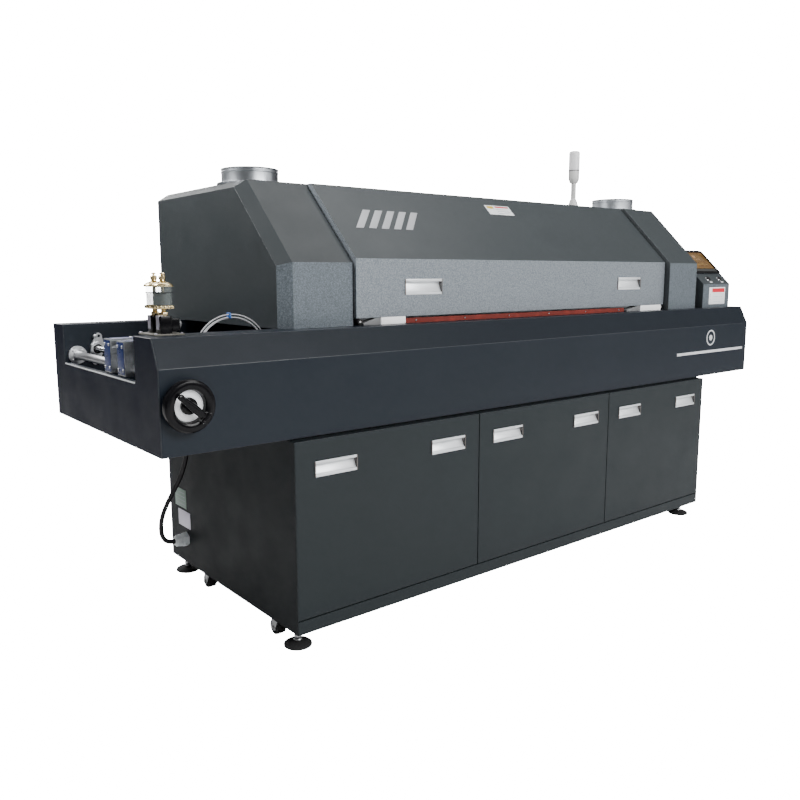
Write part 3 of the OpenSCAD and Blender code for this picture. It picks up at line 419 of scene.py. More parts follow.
class Solids:
    """Gathers closed solids, drawn in millimetres in the beam's own frame, into one piece."""

    def __init__(self):
        self.mesh = bmesh.new()
        self.paint = 0
        self.stand = Matrix.Identity(4)

    def add(self, part, rounding, segments):
        """Rounds the part's sharp edges, stands it in place and joins it to the others."""
        bmesh.ops.recalc_face_normals(part, faces=part.faces)
        if rounding:
            limit = math.radians(30)
            sharp = [e for e in part.edges if len(e.link_faces) == 2 and e.calc_face_angle() > limit]
            bmesh.ops.bevel(part, geom=sharp, offset=rounding, segments=segments, profile=0.5,
                            affect="EDGES", clamp_overlap=True)
        for face in part.faces:
            face.material_index = self.paint
        part.transform(self.stand)
        made = bpy.data.meshes.new("part")
        part.to_mesh(made)
        part.free()
        self.mesh.from_mesh(made)
        bpy.data.meshes.remove(made)

    def box(self, low, high, rounding=0.0, segments=2):
        part = bmesh.new()
        bmesh.ops.create_cube(part, size=1)
        size = [b - a for a, b in zip(low, high)]
        middle = [(a + b) / 2 for a, b in zip(low, high)]
        part.transform(Matrix.Translation(middle) @ Matrix.Diagonal((*size, 1)))
        self.add(part, rounding, segments)

    def prism(self, outline, low, high, axis="z", rounding=0.0):
        """A flat outline drawn out along an axis. On x the outline is (y, z), on y it is (x, z)."""
        part = bmesh.new()
        turn = DRAWN_OUT[axis]
        ends = [[part.verts.new(turn(a, b, c)) for a, b in outline] for c in (low, high)]
        for end in ends:
            part.faces.new(end)
        band(part, *ends)
        self.add(part, rounding, 2)

    def frame(self, outer, inner, low, high, rounding, segments):
        """An upright ring between two outlines of equally many points."""
        part = bmesh.new()
        loops = [[part.verts.new((a, b, c)) for a, b in line]
                 for line, c in ((outer, low), (outer, high), (inner, high), (inner, low))]
        for a, b in zip(loops, loops[1:] + loops[:1]):
            band(part, a, b)
        self.add(part, rounding, segments)

    def lathe(self, profile, centre=(0, 0, 0), axis="z", steps=64, rounding=0.0):
        """A profile of (radius, height) points turned about an axis through the centre."""
        part = bmesh.new()
        turns = [(math.cos(math.tau * k / steps), math.sin(math.tau * k / steps)) for k in range(steps)]
        if axis == "y":
            turns = [(b, a) for a, b in turns]
        rings = []
        for r, h in profile:
            ring = [(r * a, r * b) for a, b in turns] if r else [(0, 0)]
            rings.append([part.verts.new(DRAWN_OUT[axis](a, b, h)) for a, b in ring])
        closed = profile[0][0] != 0 or profile[-1][0] != 0
        pairs = list(zip(rings, rings[1:])) + ([(rings[-1], rings[0])] if closed else [])
        for a, b in pairs:
            for k in range(steps):
                m = (k + 1) % steps
                ring = [a[k % len(a)], a[m % len(a)], b[m % len(b)], b[k % len(b)]]
                corners = list(dict.fromkeys(ring))
                if len(corners) > 2:
                    part.faces.new(corners)
        part.transform(Matrix.Translation(centre))
        self.add(part, rounding, 2)

    def hexagon(self, across, low, high, centre=(0, 0, 0), axis="z", rounding=0.6):
        r = across / math.sqrt(3)
        self.lathe([(0, low), (r, low), (r, high), (0, high)], centre, axis, 6, rounding)

    def screw(self, centre, axis, way, r=4.0, height=2.6):
        """A pan-head screw with a hexagon socket; way is the side that its head faces."""
        self.lathe([(a * r, b * way * height) for a, b in SCREW_HEAD], centre, axis, 20)

    def piece(self, name, materials, body="root", slot=None, *stands_for):
        """Turns what was gathered into an object in the row frame that rides on a body."""
        self.mesh.transform(TO_FRAME)
        made = bpy.data.meshes.new(name)
        self.mesh.to_mesh(made)
        self.mesh.free()
        made.shade_smooth()
        made.set_sharp_from_angle(angle=math.radians(32))
        give_materials(made, materials)
        obj = linked(name, made)
        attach(obj, body)
        if stands_for:
            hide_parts(*stands_for)
        return obj


def rounded_outline(low, high, radius):
    """A rectangle with round corners, as (a, b) points."""
    points, steps = [], 5
    left, bottom, right, top = low[0] + radius, low[1] + radius, high[0] - radius, high[1] - radius
    for a, b, start in ((right, top, 0), (left, top, 90), (left, bottom, 180), (right, bottom, 270)):
        for k in range(steps + 1):
            t = math.radians(start + 90 * k / steps)
            points.append((a + radius * math.cos(t), b + radius * math.sin(t)))
    return points


def cord_curve(name, points, radius, material):
    """A smooth curve of one open spline through points of the beam's own frame."""
    data = bpy.data.curves.new(name, "CURVE")
    data.dimensions = "3D"
    data.bevel_depth = radius * MM
    data.bevel_resolution = 6
    data.use_fill_caps = True
    data.resolution_u = 8
    line = data.splines.new("NURBS")
    line.points.add(len(points) - 1)
    for point, place in zip(line.points, points):
        point.co = (*at(*place), 1)
    line.order_u = 4
    line.use_endpoint_u = True
    data.materials.append(material)
    return linked(name, data)


# ---- cords ----

CONTROL_ROUTE = [
    (285, 640, 133), (271, 640, 133), (256, 638, 140), (245, 635, 155), (239, 631, 178),
    (239, 627, 206), (245, 621, 236), (256, 613, 266), (268, 604, 294), (279, 593, 322),
    (289, 581, 352), (296, 569, 384), (300, 560, 416), (302, 554, 450), (303, 551, 485),
    (303, 550, 512), (303, 550, 534),
]


def control_lead():
    lead = cord_curve("control_lead_cable", CONTROL_ROUTE, 7, LEAD_BLACK)
    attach(lead, "root")
    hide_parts("control_lead")


def hank_point(share, radius, depth):
    """A point round the hank's upright oval; share counts turns from the right side, going up."""
    middle, high, low = 262, 748, 660
    turn = math.tau * share
    z = high if math.sin(turn) >= 0 else low
    return (middle + radius * math.cos(turn), 172 + depth, z + radius * math.sin(turn))


def thermocouple_lead():
    """Three turns of thin lead in an upright hank, tied at the top, with its plug inside."""
    turns, steps = 3, 28
    points = [(354, 150, 650), (356, 160, 653)]
    for i in range(turns * steps + 1):
        share = i / steps
        radius = 101.5 - 3.6 * share + 2.2 * math.sin(math.tau * share / 1.5)
        depth = -4.5 + 3.0 * share + 1.2 * math.sin(math.tau * share * 0.75)
        points.append(hank_point(share + 0.02, radius, depth))
    lead = cord_curve("thermocouple_lead_cable", points, 1.5, LEAD_GREY)
    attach(lead, "root")
    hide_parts("thermocouple_lead")
    tie = Solids()
    tie.prism(rounded_outline((255, 840), (260, 854), 2), 164, 180, "y", 0.8)
    tie_piece = tie.piece("blue_cable_tie", TIE)
    plug = Solids()
    plug.box((244, 166, 567), (280, 178, 590), 2.5, 3)
    plug.paint = 1
    for y in (169, 175):
        plug.box((236, y - 1, 574), (244, y + 1, 583), 0.4)
    plug_piece = plug.piece("thermocouple_plug", [BLACK_MATT, BRASS])


control_lead()
thermocouple_lead()


# ---- CAD nodes that show as they are ----

def dress(node, materials, width=1.0, segments=2, angle=30):
    """Gives a CAD node its materials, and rounds its folded or cut edges with modifiers."""
    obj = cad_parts[node]
    obj.data.materials.clear()
    give_materials(obj.data, materials)
    if "custom_normal" in obj.data.attributes:
        obj.data.attributes.remove(obj.data.attributes["custom_normal"])
    obj.data.shade_smooth()
    weld = obj.modifiers.new("weld", "WELD")
    weld.merge_threshold = 0.00001
    flat = obj.modifiers.new("flat", "DECIMATE")
    flat.decimate_type = "DISSOLVE"
    flat.angle_limit = math.radians(0.6)
    flat.delimit = {"MATERIAL"}
    round_ = obj.modifiers.new("round", "BEVEL")
    round_.width = width * MM
    round_.segments = segments
    round_.limit_method = "ANGLE"
    round_.angle_limit = math.radians(angle)
    round_.harden_normals = True
    return obj


def paint_faces(obj, index, chosen):
    """Gives the faces that the test picks another of the object's materials."""
    for face in obj.data.polygons:
        if chosen(face):
            face.material_index = index


def dress_shells():
    for name in ("base_frame", "left_side_panel", "right_side_panel", "rear_covers"):
        obj = dress(name, [CABINET, SIDE_SHADE], 0.9)
        # faces that look left get the darker copy, painted shade
        paint_faces(obj, 1, lambda f: f.normal.x < -0.9)
    for i in (1, 2, 3):
        dress(f"front_door_{i}", CABINET)
    for name in ("beam_front_cover", "beam_rear_cover", "beam_tray"):
        obj = dress(name, [BEAM, BEAM_EDGE_HIGHLIGHT, BEAM_END_SHADE, BEAM_LEANING_LIT], 2.4, 3, 15)
        # the bevels' new faces take the lighter paint, a painted highlight along the beam's bends
        obj.modifiers["round"].material = 1
        # the upward leaning face gets the lighter copy, painted light
        paint_faces(obj, 3, lambda f: f.normal.y < -0.5 and f.normal.z > 0.2)
        # faces that look left get the darker copy, painted shade
        paint_faces(obj, 2, lambda f: f.normal.x < -0.9)
    fronts = {"left_hood": 87, "lid_shell": 77, "right_hood": 57, "console_housing": 60}
    for name, front in fronts.items():
        # the lid's front takes the lit copy of the hammertone, a painted pool of light, and the others take
        # the shaded copy
        paints = [HOOD if name == "left_hood" else LID_PAINT, HAMMER_LIT if name == "lid_shell" else HAMMER_SHADED]
        obj = dress(name, [*paints, HOOD_EDGE_HIGHLIGHT], 1.3, 3, 20)
        # the bevels' new faces take the lighter paint, a painted highlight along the edges
        obj.modifiers["round"].material = 2
        reach = at(0, front + 24, 0).y
        paint_faces(obj, 1, lambda f, reach=reach: f.normal.y < -0.55 and abs(f.normal.z) < 0.1
                    and f.center.y < reach)
    # the lid's left edge is proud of the block beside it: its left-facing side takes the lid front's lit
    # hammertone, painted light that lightens a face lying in shade
    edge = at(LID_LEFT_EDGE, 0, 0).x
    paint_faces(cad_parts["lid_shell"], 1, lambda f: f.normal.x < -0.9 and f.center.x < edge)


def dress_others():
    plain = {
        "upper_heater_box": ZINC, "lower_heater_box": ZINC, "blower_motors": MOTOR,
        "blower_impeller_1": IMPELLER, "blower_impeller_2": IMPELLER, "lid_hinges": BRACKET,
        "strut_cylinders": BLACK_STEEL, "strut_rods": BRIGHT,
        "fixed_rail": RAIL, "moving_rail": RAIL, "rail_guides": GUIDE,
        "width_chains": CHAIN, "drive_shaft": BRIGHT, "drive_motor": MOTOR,
        "cable_glands": GLAND, "beacon_mast": WHITE, "lid_seal": SEAL,
    }
    for name, material in plain.items():
        dress(name, material, 0.6)
    for i in range(1, 5):
        dress(f"caster_fork_{i}", BOLT, 0.5)


dress_shells()
dress_others()


# ---- flush pulls ----

def flush_pull(made, x, y, z, width, height):
    """A bright extruded profile, its back sloping out to the lower edge, between dark end caps."""
    w, h = width / 2, height / 2
    made.paint = 0
    profile = [(-2, h), (-2, h - 6.5), (-0.6, h - 7.4), (9, h - 7.6), (10.4, h - 9), (9.6, h - 16),
               (1.6, 8 - h), (-1.2, 6.6 - h), (-2, 5.6 - h), (-2, -h), (0, -h), (0, 5.4 - h),
               (3, 7.2 - h), (11, h - 15.6), (11.8, h - 7.4), (10, h - 6.2), (0, h - 5.8), (0, h)]
    made.prism([(y + a, z + b) for a, b in profile], x - w + 2.6, x + w - 2.6, "x", 0.35)
    made.paint = 1
    for side in (-1, 1):
        a, b = sorted((x + side * w, x + side * (w - 3)))
        made.box((a, y - 2.6, z - h), (b, y, z + h), 0.9)
        made.box((a + 0.6, y - 1, z - h + 5), (b - 0.2, y + 11.6, z + h - 5.6), 0.4)


def pulls():
    for i, (left, right) in enumerate(DOORS, 1):
        made = Solids()
        for x in (left + 120, right - 120):
            flush_pull(made, x, DOOR_FACE, 472, 130, 40)
        made.piece(f"door_{i}_pulls", [PULL, PULL_END], f"door_{i}", "pull_metal", f"door_handles_{i}")
    made = Solids()
    for x in (811, 1782):
        flush_pull(made, x, LID_FRONT, 912, 138, 43)
    made.piece("lid_pulls", [PULL, PULL_END], "lid", "pull_metal", "lid_handles")


# ---- exhaust collars ----

def exhaust_collars():
    made = Solids()
    profile = [(78.6, 0), (92, 0), (93.4, 1), (93.6, 5), (92.6, 6.4), (91, 6.8), (82, 6.8), (80.3, 8),
               (80, 10), (80, 33), (81, 34.4), (81, 37), (80, 38.4), (80, 42), (81, 43), (81.4, 44.6),
               (80.6, 45.8), (79.2, 45.6), (78.6, 44)]
    for x, y in COLLARS:
        made.lathe(profile, (x, y, ROOF), "z", 128)
        made.box((x - 7, y + 79.4, ROOF + 3), (x + 7, y + 80.8, ROOF + 42), 0.4)
        for k in range(8):
            turn = math.radians(22.5 + 45 * k)
            made.screw((x + 85.8 * math.cos(turn), y + 85.8 * math.sin(turn), ROOF + 6.6), "z", 1, 3.2, 2)
    made.piece("exhaust_collar_rings", COLLAR, "root", "galvanised", "exhaust_collars")


# ---- handwheel ----

def handwheel():
    x, z = WHEEL_X, WHEEL_Z
    made = Solids()
    made.lathe([(0, -8), (48, -8), (55, -9.5), (58.4, -13), (59, -19), (58, -25.5), (54.6, -29.4),
                (49, -31), (42, -30.8), (37.6, -28.6), (35.4, -24), (34.4, -13.4), (19.4, -13.2),
                (18.6, -20.4), (16.4, -22), (8, -22.4), (0, -22.4)], (x, 0, z), "y", 128)
    made.paint = 1
    made.lathe([(19, -13.2), (34.4, -13.4), (34.2, -14.4), (33.6, -14.8), (19.4, -14.8), (19, -14.4)],
               (x, 0, z), "y", 96, 0.2)
    made.paint = 2
    made.lathe([(0, -21.8), (5.5, -21.8), (5.5, -23.4), (4.6, -24), (0, -24)], (x, 0, z), "y", 40)
    made.lathe([(0, -10), (8, -10), (8, 95), (7, 96), (0, 96)], (x, 0, z), "y", 40)
    made.lathe([(8, 84), (22, 84), (24, 86), (24, 88), (22, 90), (8, 90)], (x, 0, z), "y", 48)
    tilt = math.radians(42)
    along = Vector((-math.cos(tilt), 0, math.sin(tilt)))
    out = Vector((0, -1, 0))
    across = out.cross(along)
    stand = Matrix((along, across, out)).transposed().to_4x4()
    stand.translation = Vector((x + 30, -38.5, z - 27))
    # two lugs and the pin of the folding grip
    made.stand = stand
    made.paint = 0
    for side in (-1, 1):
        a, b = sorted((side * 9, side * 13))
        made.prism([(-6, -15), (6, -15), (6, 2), (4.2, 5), (0, 6.2), (-4.2, 5), (-6, 2)], a, b, "y", 0.7)
    made.paint = 2
    made.lathe([(0, -13.6), (2.5, -13.6), (2.5, 13.6), (0, 13.6)], axis="y", steps=24)
    made.piece("handwheel_rim_and_hub", [BLACK, WHITE_RING, BRIGHT],
               "handwheel", "black_plastic", "handwheel")
    grip = Solids()
    grip.stand = stand
    grip.lathe([(2.6, -8.5), (6, -8.5), (6.5, -8), (6.5, 8), (6, 8.5), (2.6, 8.5)], axis="y", steps=40)
    grip.lathe([(0, 6), (5.4, 6), (5.4, 12.5), (8.2, 14), (9, 18), (9, 36), (8.2, 52), (6.8, 66), (6.4, 71),
                (7.2, 76), (6.2, 79.4), (3.4, 80.6), (0, 80.6)], (0, 0, 0), "x", 48)
    grip.piece("folding_grip", BLACK, "crank_grip", "black_plastic", "crank_grip")


# ---- chain lubricators ----

def lubricators():
    x, base = 62, BEAM_TOP + 44
    brass, glass_, valves = Solids(), Solids(), Solids()
    valves.paint = 2
    valves.box((30, 80, BEAM_TOP), (100, 176, BEAM_TOP + 4), 1.2)
    for y in (102, 150):
        foot = (x, y, base)
        brass.hexagon(18, 0, 7, foot, "z", 0.8)
        brass.lathe([(0, 6), (7.5, 6), (7.5, 8), (5.6, 9.5), (5.6, 13), (16, 14), (20.6, 16),
                     (21.6, 18.4), (22, 21), (22, 22.6), (17.6, 23), (3.6, 23), (3.6, 64), (18, 64),
                     (22.4, 64.6), (22.8, 67.6), (21.4, 70), (15, 73.6), (8.6, 75.6), (6, 77.4),
                     (5.6, 79), (7.4, 80.4), (7.8, 87), (6, 89.4), (0, 89.8)], foot, "z", 64)
        for k in range(14):
            turn = math.tau * k / 14
            brass.lathe([(0, 15.5), (2.4, 15.8), (2.7, 17.5), (2.7, 21.5), (2.2, 22.4), (0, 22.4)],
                        (x + 20.6 * math.cos(turn), y + 20.6 * math.sin(turn), base), "z", 12)
            brass.lathe([(0, 64.2), (2.1, 64.4), (2.3, 66), (2.1, 68), (0, 68.6)],
                        (x + 21 * math.cos(turn), y + 21 * math.sin(turn), base), "z", 12)
        if y == 150:
            brass.lathe([(0, 89), (2.6, 89), (2.2, 91.4), (5, 92.6), (5.4, 94.4), (3.4, 95.8), (0, 96)],
                        foot, "z", 28)
        else:
            brass.lathe([(0, 89), (3, 89), (3, 93), (0, 93)], foot, "z", 24)
            brass.box((x - 3, y - 8, base + 91), (x + 3, y + 8, base + 95.4), 1.4)
        glass_.paint = 0
        glass_.lathe([(18, 22.8), (20.6, 22.8), (20.6, 64.4), (18, 64.4)], foot, "z", 64)
        glass_.paint = 1
        glass_.lathe([(3.8, 23.2), (17.8, 23.2), (17.8, 50), (3.8, 50)], foot, "z", 48)
        glass_.paint = 2
        glass_.lathe([(19.6, 50), (21, 50), (21, 51.6), (19.6, 51.6)], foot, "z", 64)
        # valve body, its coil in a bracket bent over the top, and the round connector
        valves.paint = 0
        valves.box((x - 14, y - 15, BEAM_TOP + 4), (x + 13, y + 15, BEAM_TOP + 44), 2)
        valves.box((x + 13, y - 11, BEAM_TOP + 9), (x + 33, y + 11, BEAM_TOP + 38), 2.5, 3)
        valves.paint = 1
        valves.box((x - 15.6, y - 8, BEAM_TOP + 13), (x - 14, y + 8, BEAM_TOP + 43), 0.6)
        valves.box((x - 15.6, y - 8, BEAM_TOP + 43), (x + 2, y + 8, BEAM_TOP + 44.4), 0.5)
        valves.paint = 3
        valves.lathe([(0, 33), (8.4, 33), (9, 34), (9, 36.4), (7.6, 37), (7.6, 38), (0, 38)],
                     (x, y, BEAM_TOP + 24), "x", 32)
    valves.paint = 1
    for bolt_x in (35, 95):
        for bolt_y in (85, 171):
            valves.screw((bolt_x, bolt_y, BEAM_TOP + 4), "z", 1, 3.4, 2.2)
    brass.piece("lubricator_caps_and_stems", BRASS, "root", "brass", "lubricator_brass")
    glass_.piece("lubricator_sight_glasses", [GLASS, OIL, BLACK_MATT],
                 "root", "clear_glass", "lubricator_glasses")
    valves.piece("lubricator_valve_blocks", [BLACK, LABEL_LILAC, BASE_PLATE, GREY_PLASTIC], "root",
                 "black_plastic", "lubricator_valves")


# ---- rails and screws ----

def lead_screw(node, x, front, sprockets):
    """A two-start trapezoidal thread of 10 mm lead, with the chain sprockets at its front end."""
    made = Solids()
    steps, back, start = 24, TROUGH_BACK - 1, 170
    part = bmesh.new()
    rings = []
    for k in range(int((back - 14 - start) / 1.25) + 1):
        y = start + k * 1.25
        ring = []
        for m in range(steps):
            turn = math.tau * m / steps
            wave = abs(((y / 5 + 2 * m / steps) % 1) - 0.5) * 2
            radius = 8 - 1.3 * min(1, max(0, (wave - 0.3) / 0.35))
            ring.append(part.verts.new((x + radius * math.sin(turn), y, SCREW_Z + radius * math.cos(turn))))
        rings.append(ring)
    part.faces.new(rings[0])
    part.faces.new(rings[-1])
    for a, b in zip(rings, rings[1:]):
        band(part, a, b)
    made.add(part, 0, 0)
    middle = (x, 0, SCREW_Z)
    made.lathe([(0, front), (7, front), (8, front + 1), (8, start + 0.5), (0, start + 0.5)], middle, "y", 40)
    made.lathe([(0, back - 14.5), (7.9, back - 14.5), (7.9, back - 1), (7, back), (0, back)], middle, "y", 40)
    for y in sprockets:
        outline = []
        for k in range(60):
            turn = math.tau * k / 60
            radius = (24, 24, 22.4, 21, 22.4)[k % 5]
            outline.append((x + radius * math.sin(turn), SCREW_Z + radius * math.cos(turn)))
        made.prism(outline, y, y + 6, "y", 0.5)
        made.lathe([(8, -3), (13, -3), (13, 9), (8, 9)], (x, y, SCREW_Z), "y", 32, 0.6)
    made.piece(node + "_thread", BRIGHT, node.replace("_lead", ""), "bright_steel", node)


def rail_trim(name, outside, inside, body):
    """Filmed end plates and top strips, and bolts, along one rail."""
    low, high = sorted((outside, inside))
    made = Solids()
    for x, way in ((8, -1), (2492, 1)):
        a, b = sorted((x, x + way * 0.9))
        made.paint = 0
        made.box((a, low + 3, 714), (b, high - 3, 790), 0.3)
        made.paint = 1
        for z in (724, 780):
            for y in (low + 9, high - 9):
                made.screw((x + way * 0.9, y, z), "x", way, 3.6, 2.4)
    made.paint = 0
    made.box((14, low + 2, 793), (2486, high - 14 if inside > outside else high - 2, 793.5), 0.2)
    made.paint = 1
    for k in range(13):
        y = (low + high) / 2 + (6 if inside < outside else -6)
        made.screw((70 + k * 196.6, y, 793.4), "z", 1, 4, 2.4)
    made.piece(name + "_trim", [FILM, BOLT], body, "rail_aluminium")


def chain_links(name, inside, way, body):
    """Roller chain with long board pins: link plates and rollers in one row."""
    made = Solids()
    pitch = 15.875
    centre = inside - way * 5
    for k in range(155):
        x = 22 + k * pitch
        gap = 3.6 if k % 2 else 2.6
        for side in (-1, 1):
            y = centre + side * gap
            made.box((x - 0.5, y - 0.45, 768.6), (x + pitch + 0.5, y + 0.45, 777.4), 0)
        made.lathe([(0, -2.4), (4.4, -2.4), (4.4, 2.4), (0, 2.4)], (x, centre, 773), "y", 10)
    made.piece(name + "_links", CHAIN, body, "rail_aluminium")


def rails():
    rail_trim("fixed_rail", 213, 261, "root")
    rail_trim("moving_rail", 351, 303, "moving_rail")
    chain_links("fixed_rail_chain", 261, 1, "root")
    chain_links("moving_rail_chain", 303, -1, "moving_rail")
    made = Solids()
    # bolts of the bearings and of the guide bars' flanges, and the bright strip in each end's notch
    for x, z in SHAFT_PLACES:
        for side in (-1, 1):
            turn = math.radians(80)
            bx, bz = x + side * 36 * math.cos(turn), z - side * 36 * math.sin(turn)
            made.hexagon(10, 136, 142, (bx, 0, bz), "y")
            made.hexagon(10, 642, 648, (bx, 0, bz), "y")
    for x in GUIDE_BAR_X:
        for k in range(4):
            turn = math.radians(45 + 90 * k)
            at_x, at_z = x + 18 * math.cos(turn), GUIDE_BAR_Z + 18 * math.sin(turn)
            made.screw((at_x, 138, at_z), "y", 1, 2.8, 2.2)
            made.screw((at_x, 647, at_z), "y", -1, 2.8, 2.2)
    made.paint = 1
    for x, z in SHAFT_PLACES:
        for y, way in ((142, 1), (643, -1)):
            a, b = sorted((0, way * 1.4))
            made.lathe([(8.4, a), (13, a), (13, b), (8.4, b)], (x, y, z), "y", 40, 0.3)
    made.paint = 2
    for x in (0, 2499.4):
        made.box((x - 0.2 if x else -0.4, 133, 704), (x + 0.8, 652, 707.6), 0.2)
    made.piece("rail_bolts_and_rings", [BOLT, BLACK_MATT, PULL], "root", "bright_steel")


# ---- feet and casters ----

def feet_and_casters():
    made = Solids()
    for x in FEET_X:
        for y in FEET_Y:
            made.paint = 0
            made.lathe([(0, 0), (34, 0), (36.4, 1.4), (37, 4), (36.4, 6.6), (33, 9), (24, 12.6), (16, 15),
                        (12, 16), (0, 16)], (x, y, 0), "z", 72)
            made.paint = 1
            made.lathe([(0, 15), (10.5, 15), (11.4, 17), (10, 20), (7, 21.6), (0, 21.6)], (x, y, 0), "z", 40)
            thread = [(0, 20)]
            for k in range(26):
                thread += [(6, 20 + 2 * k), (5.3, 21 + 2 * k)]
            made.lathe(thread + [(6, 74), (0, 74)], (x, y, 0), "z", 28)
            made.hexagon(19, 23, 31, (x, y, 0), "z", 1)
            made.hexagon(19, 46, 53.8, (x, y, 0), "z", 1)
    made.piece("levelling_feet_pads", [FOOT, BOLT], "root", "foot_rubber", "levelling_feet")
    places = [(x, y + CASTER_TRAIL, CASTER_AXLE_Z) for x in CASTERS_X for y in CASTERS_Y]
    for i, place in enumerate(places, 1):
        wheel = Solids()
        wheel.lathe([(15, -11.6), (17, -12.6), (20, -12.8), (21.4, -11.4), (22, -8), (22, 8), (21.4, 11.4),
                     (20, 12.8), (17, 12.6), (15, 11.6)], place, "x", 64)
        wheel.paint = 1
        wheel.lathe([(3.1, -14.4), (7, -14.4), (7.6, -12), (13, -10.4), (15.4, -11.8), (15.4, 11.8),
                     (13, 10.4), (7.6, 12), (7, 14.4), (3.1, 14.4)], place, "x", 48)
        wheel.piece(f"caster_{i}_wheel_and_tyre", [TYRE, BLACK_MATT], f"caster_wheel_{i}", "caster_tyre",
                    f"caster_wheel_{i}")
        axle = Solids()
        axle.hexagon(10, 17, 20.5, place, "x")
        axle.hexagon(10, -20.5, -17, place, "x")
        axle.piece(f"caster_{i}_axle_bolt", BOLT, f"caster_swivel_{i}", "caster_zinc")


# ---- console ----

def leaning(x, y, z, slope):
    """Stands a flat part on a leaning face: x runs along the oven and y runs up the lean."""
    return Matrix.Translation((x, y, z)) @ Matrix.Rotation(slope, 4, "X")


def on_console(x):
    return leaning(x, CONSOLE_FRONT, CONSOLE_BEND, CONSOLE_LEAN)


def console():
    made = Solids()
    made.stand = on_console(2352.5)
    rim, opening = rounded_outline((-96, 58), (96, 188), 7), rounded_outline((-83, 68), (83, 179), 2)
    made.frame(rim, opening, 0, 5.6, 1.2, 3)
    made.box((-90, 62, -20), (90, 184, 0.6))
    made.box((-84, 67, 0.6), (84, 180, 2.2))
    made.paint = 1
    made.box((-82, 86, 2.2), (82, 178, 3.6), 0.3)
    made.paint = 2
    made.box((-82, 168, 3.6), (82, 178, 3.8))
    for row in range(2):
        for column in range(3):
            made.box((-72 + 52 * column, 92 + 22 * row, 3.6), (-34 + 52 * column, 105 + 22 * row, 3.8))
    made.paint = 3
    made.box((-30, 137, 3.6), (30, 140, 3.8))
    made.box((-10, 148, 3.6), (10, 161, 3.8))
    made.paint = 4
    made.box((-82, 70, 2.2), (82, 83, 4), 0.5)
    made.piece("touch_screen_bezel", [BLACK, SCREEN, SCREEN_DARK, SCREEN_PALE, BEZEL],
               "root", "black_plastic", "touch_screen")
    rings = Solids()
    for x in BUTTONS.values():
        rings.stand = on_console(x)
        rings.paint = 0
        rings.lathe([(9.7, 0), (12.4, 0), (12.4, 1.2), (11.6, 2), (10.2, 2.2), (9.7, 1.6)],
                    (0, BUTTON_UP, 0), "z", 48)
        rings.paint = 1
        rings.box((-3, 8, 0), (13, 13.5, 0.6), 0.2)
    rings.stand = Matrix.Identity(4)
    rings.paint = 1
    rings.box((2299, 59.4, 825), (2419, 60, 892), 0.2)
    rings.paint = 2
    rings.box((2320, 59.1, 872), (2414, 59.5, 888), 0.15)
    rings.paint = 3
    for k in range(4):
        rings.box((2326, 59.1, 864 - 10 * k), (2326 + (84, 76, 80, 62)[k], 59.5, 865.4 - 10 * k))
        rings.box((2306, 59.1, 863 - 10 * k), (2311, 59.5, 866.4 - 10 * k))
    rings.piece("button_rings_and_plates", [BRIGHT, LABEL_WHITE, LABEL_RED, LABEL_GREY], "root")
    for side, x in BUTTONS.items():
        cap = Solids()
        cap.stand = on_console(x)
        cap.lathe([(0, -12), (9.4, -12), (9.4, 4), (8.8, 5.6), (6.5, 6.6), (0, 6.9)],
                  (0, BUTTON_UP, 0), "z", 48)
        cap.piece(f"{side}_button_cap", BLACK_MATT, f"{side}_button", "white_plastic", f"{side}_button")


def beacon():
    made = Solids()
    profile = [(0, 0), (22.5, 0), (22.5, 2)]
    for k in range(11):
        z = 4 + 6 * k
        profile += [(22.2, z), (22.5, z + 1), (22.5, z + 4), (22.2, z + 5)]
    profile += [(22.4, 71), (21.6, 75), (18, 78.6), (12, 80), (0, 80)]
    made.lathe(profile, LENS_PLACE, "z", 72)
    made.piece("beacon_ribbed_lens", LENS, "root", "lens", "beacon_lens")
    trim = Solids()
    trim.lathe([(22.4, -2), (23, -1.4), (23, 1.4), (22.4, 2)], LENS_PLACE, "z", 72)
    trim.piece("beacon_joint_ring", GREY_PLASTIC, "root", "white_plastic")


# ---- electrics ----

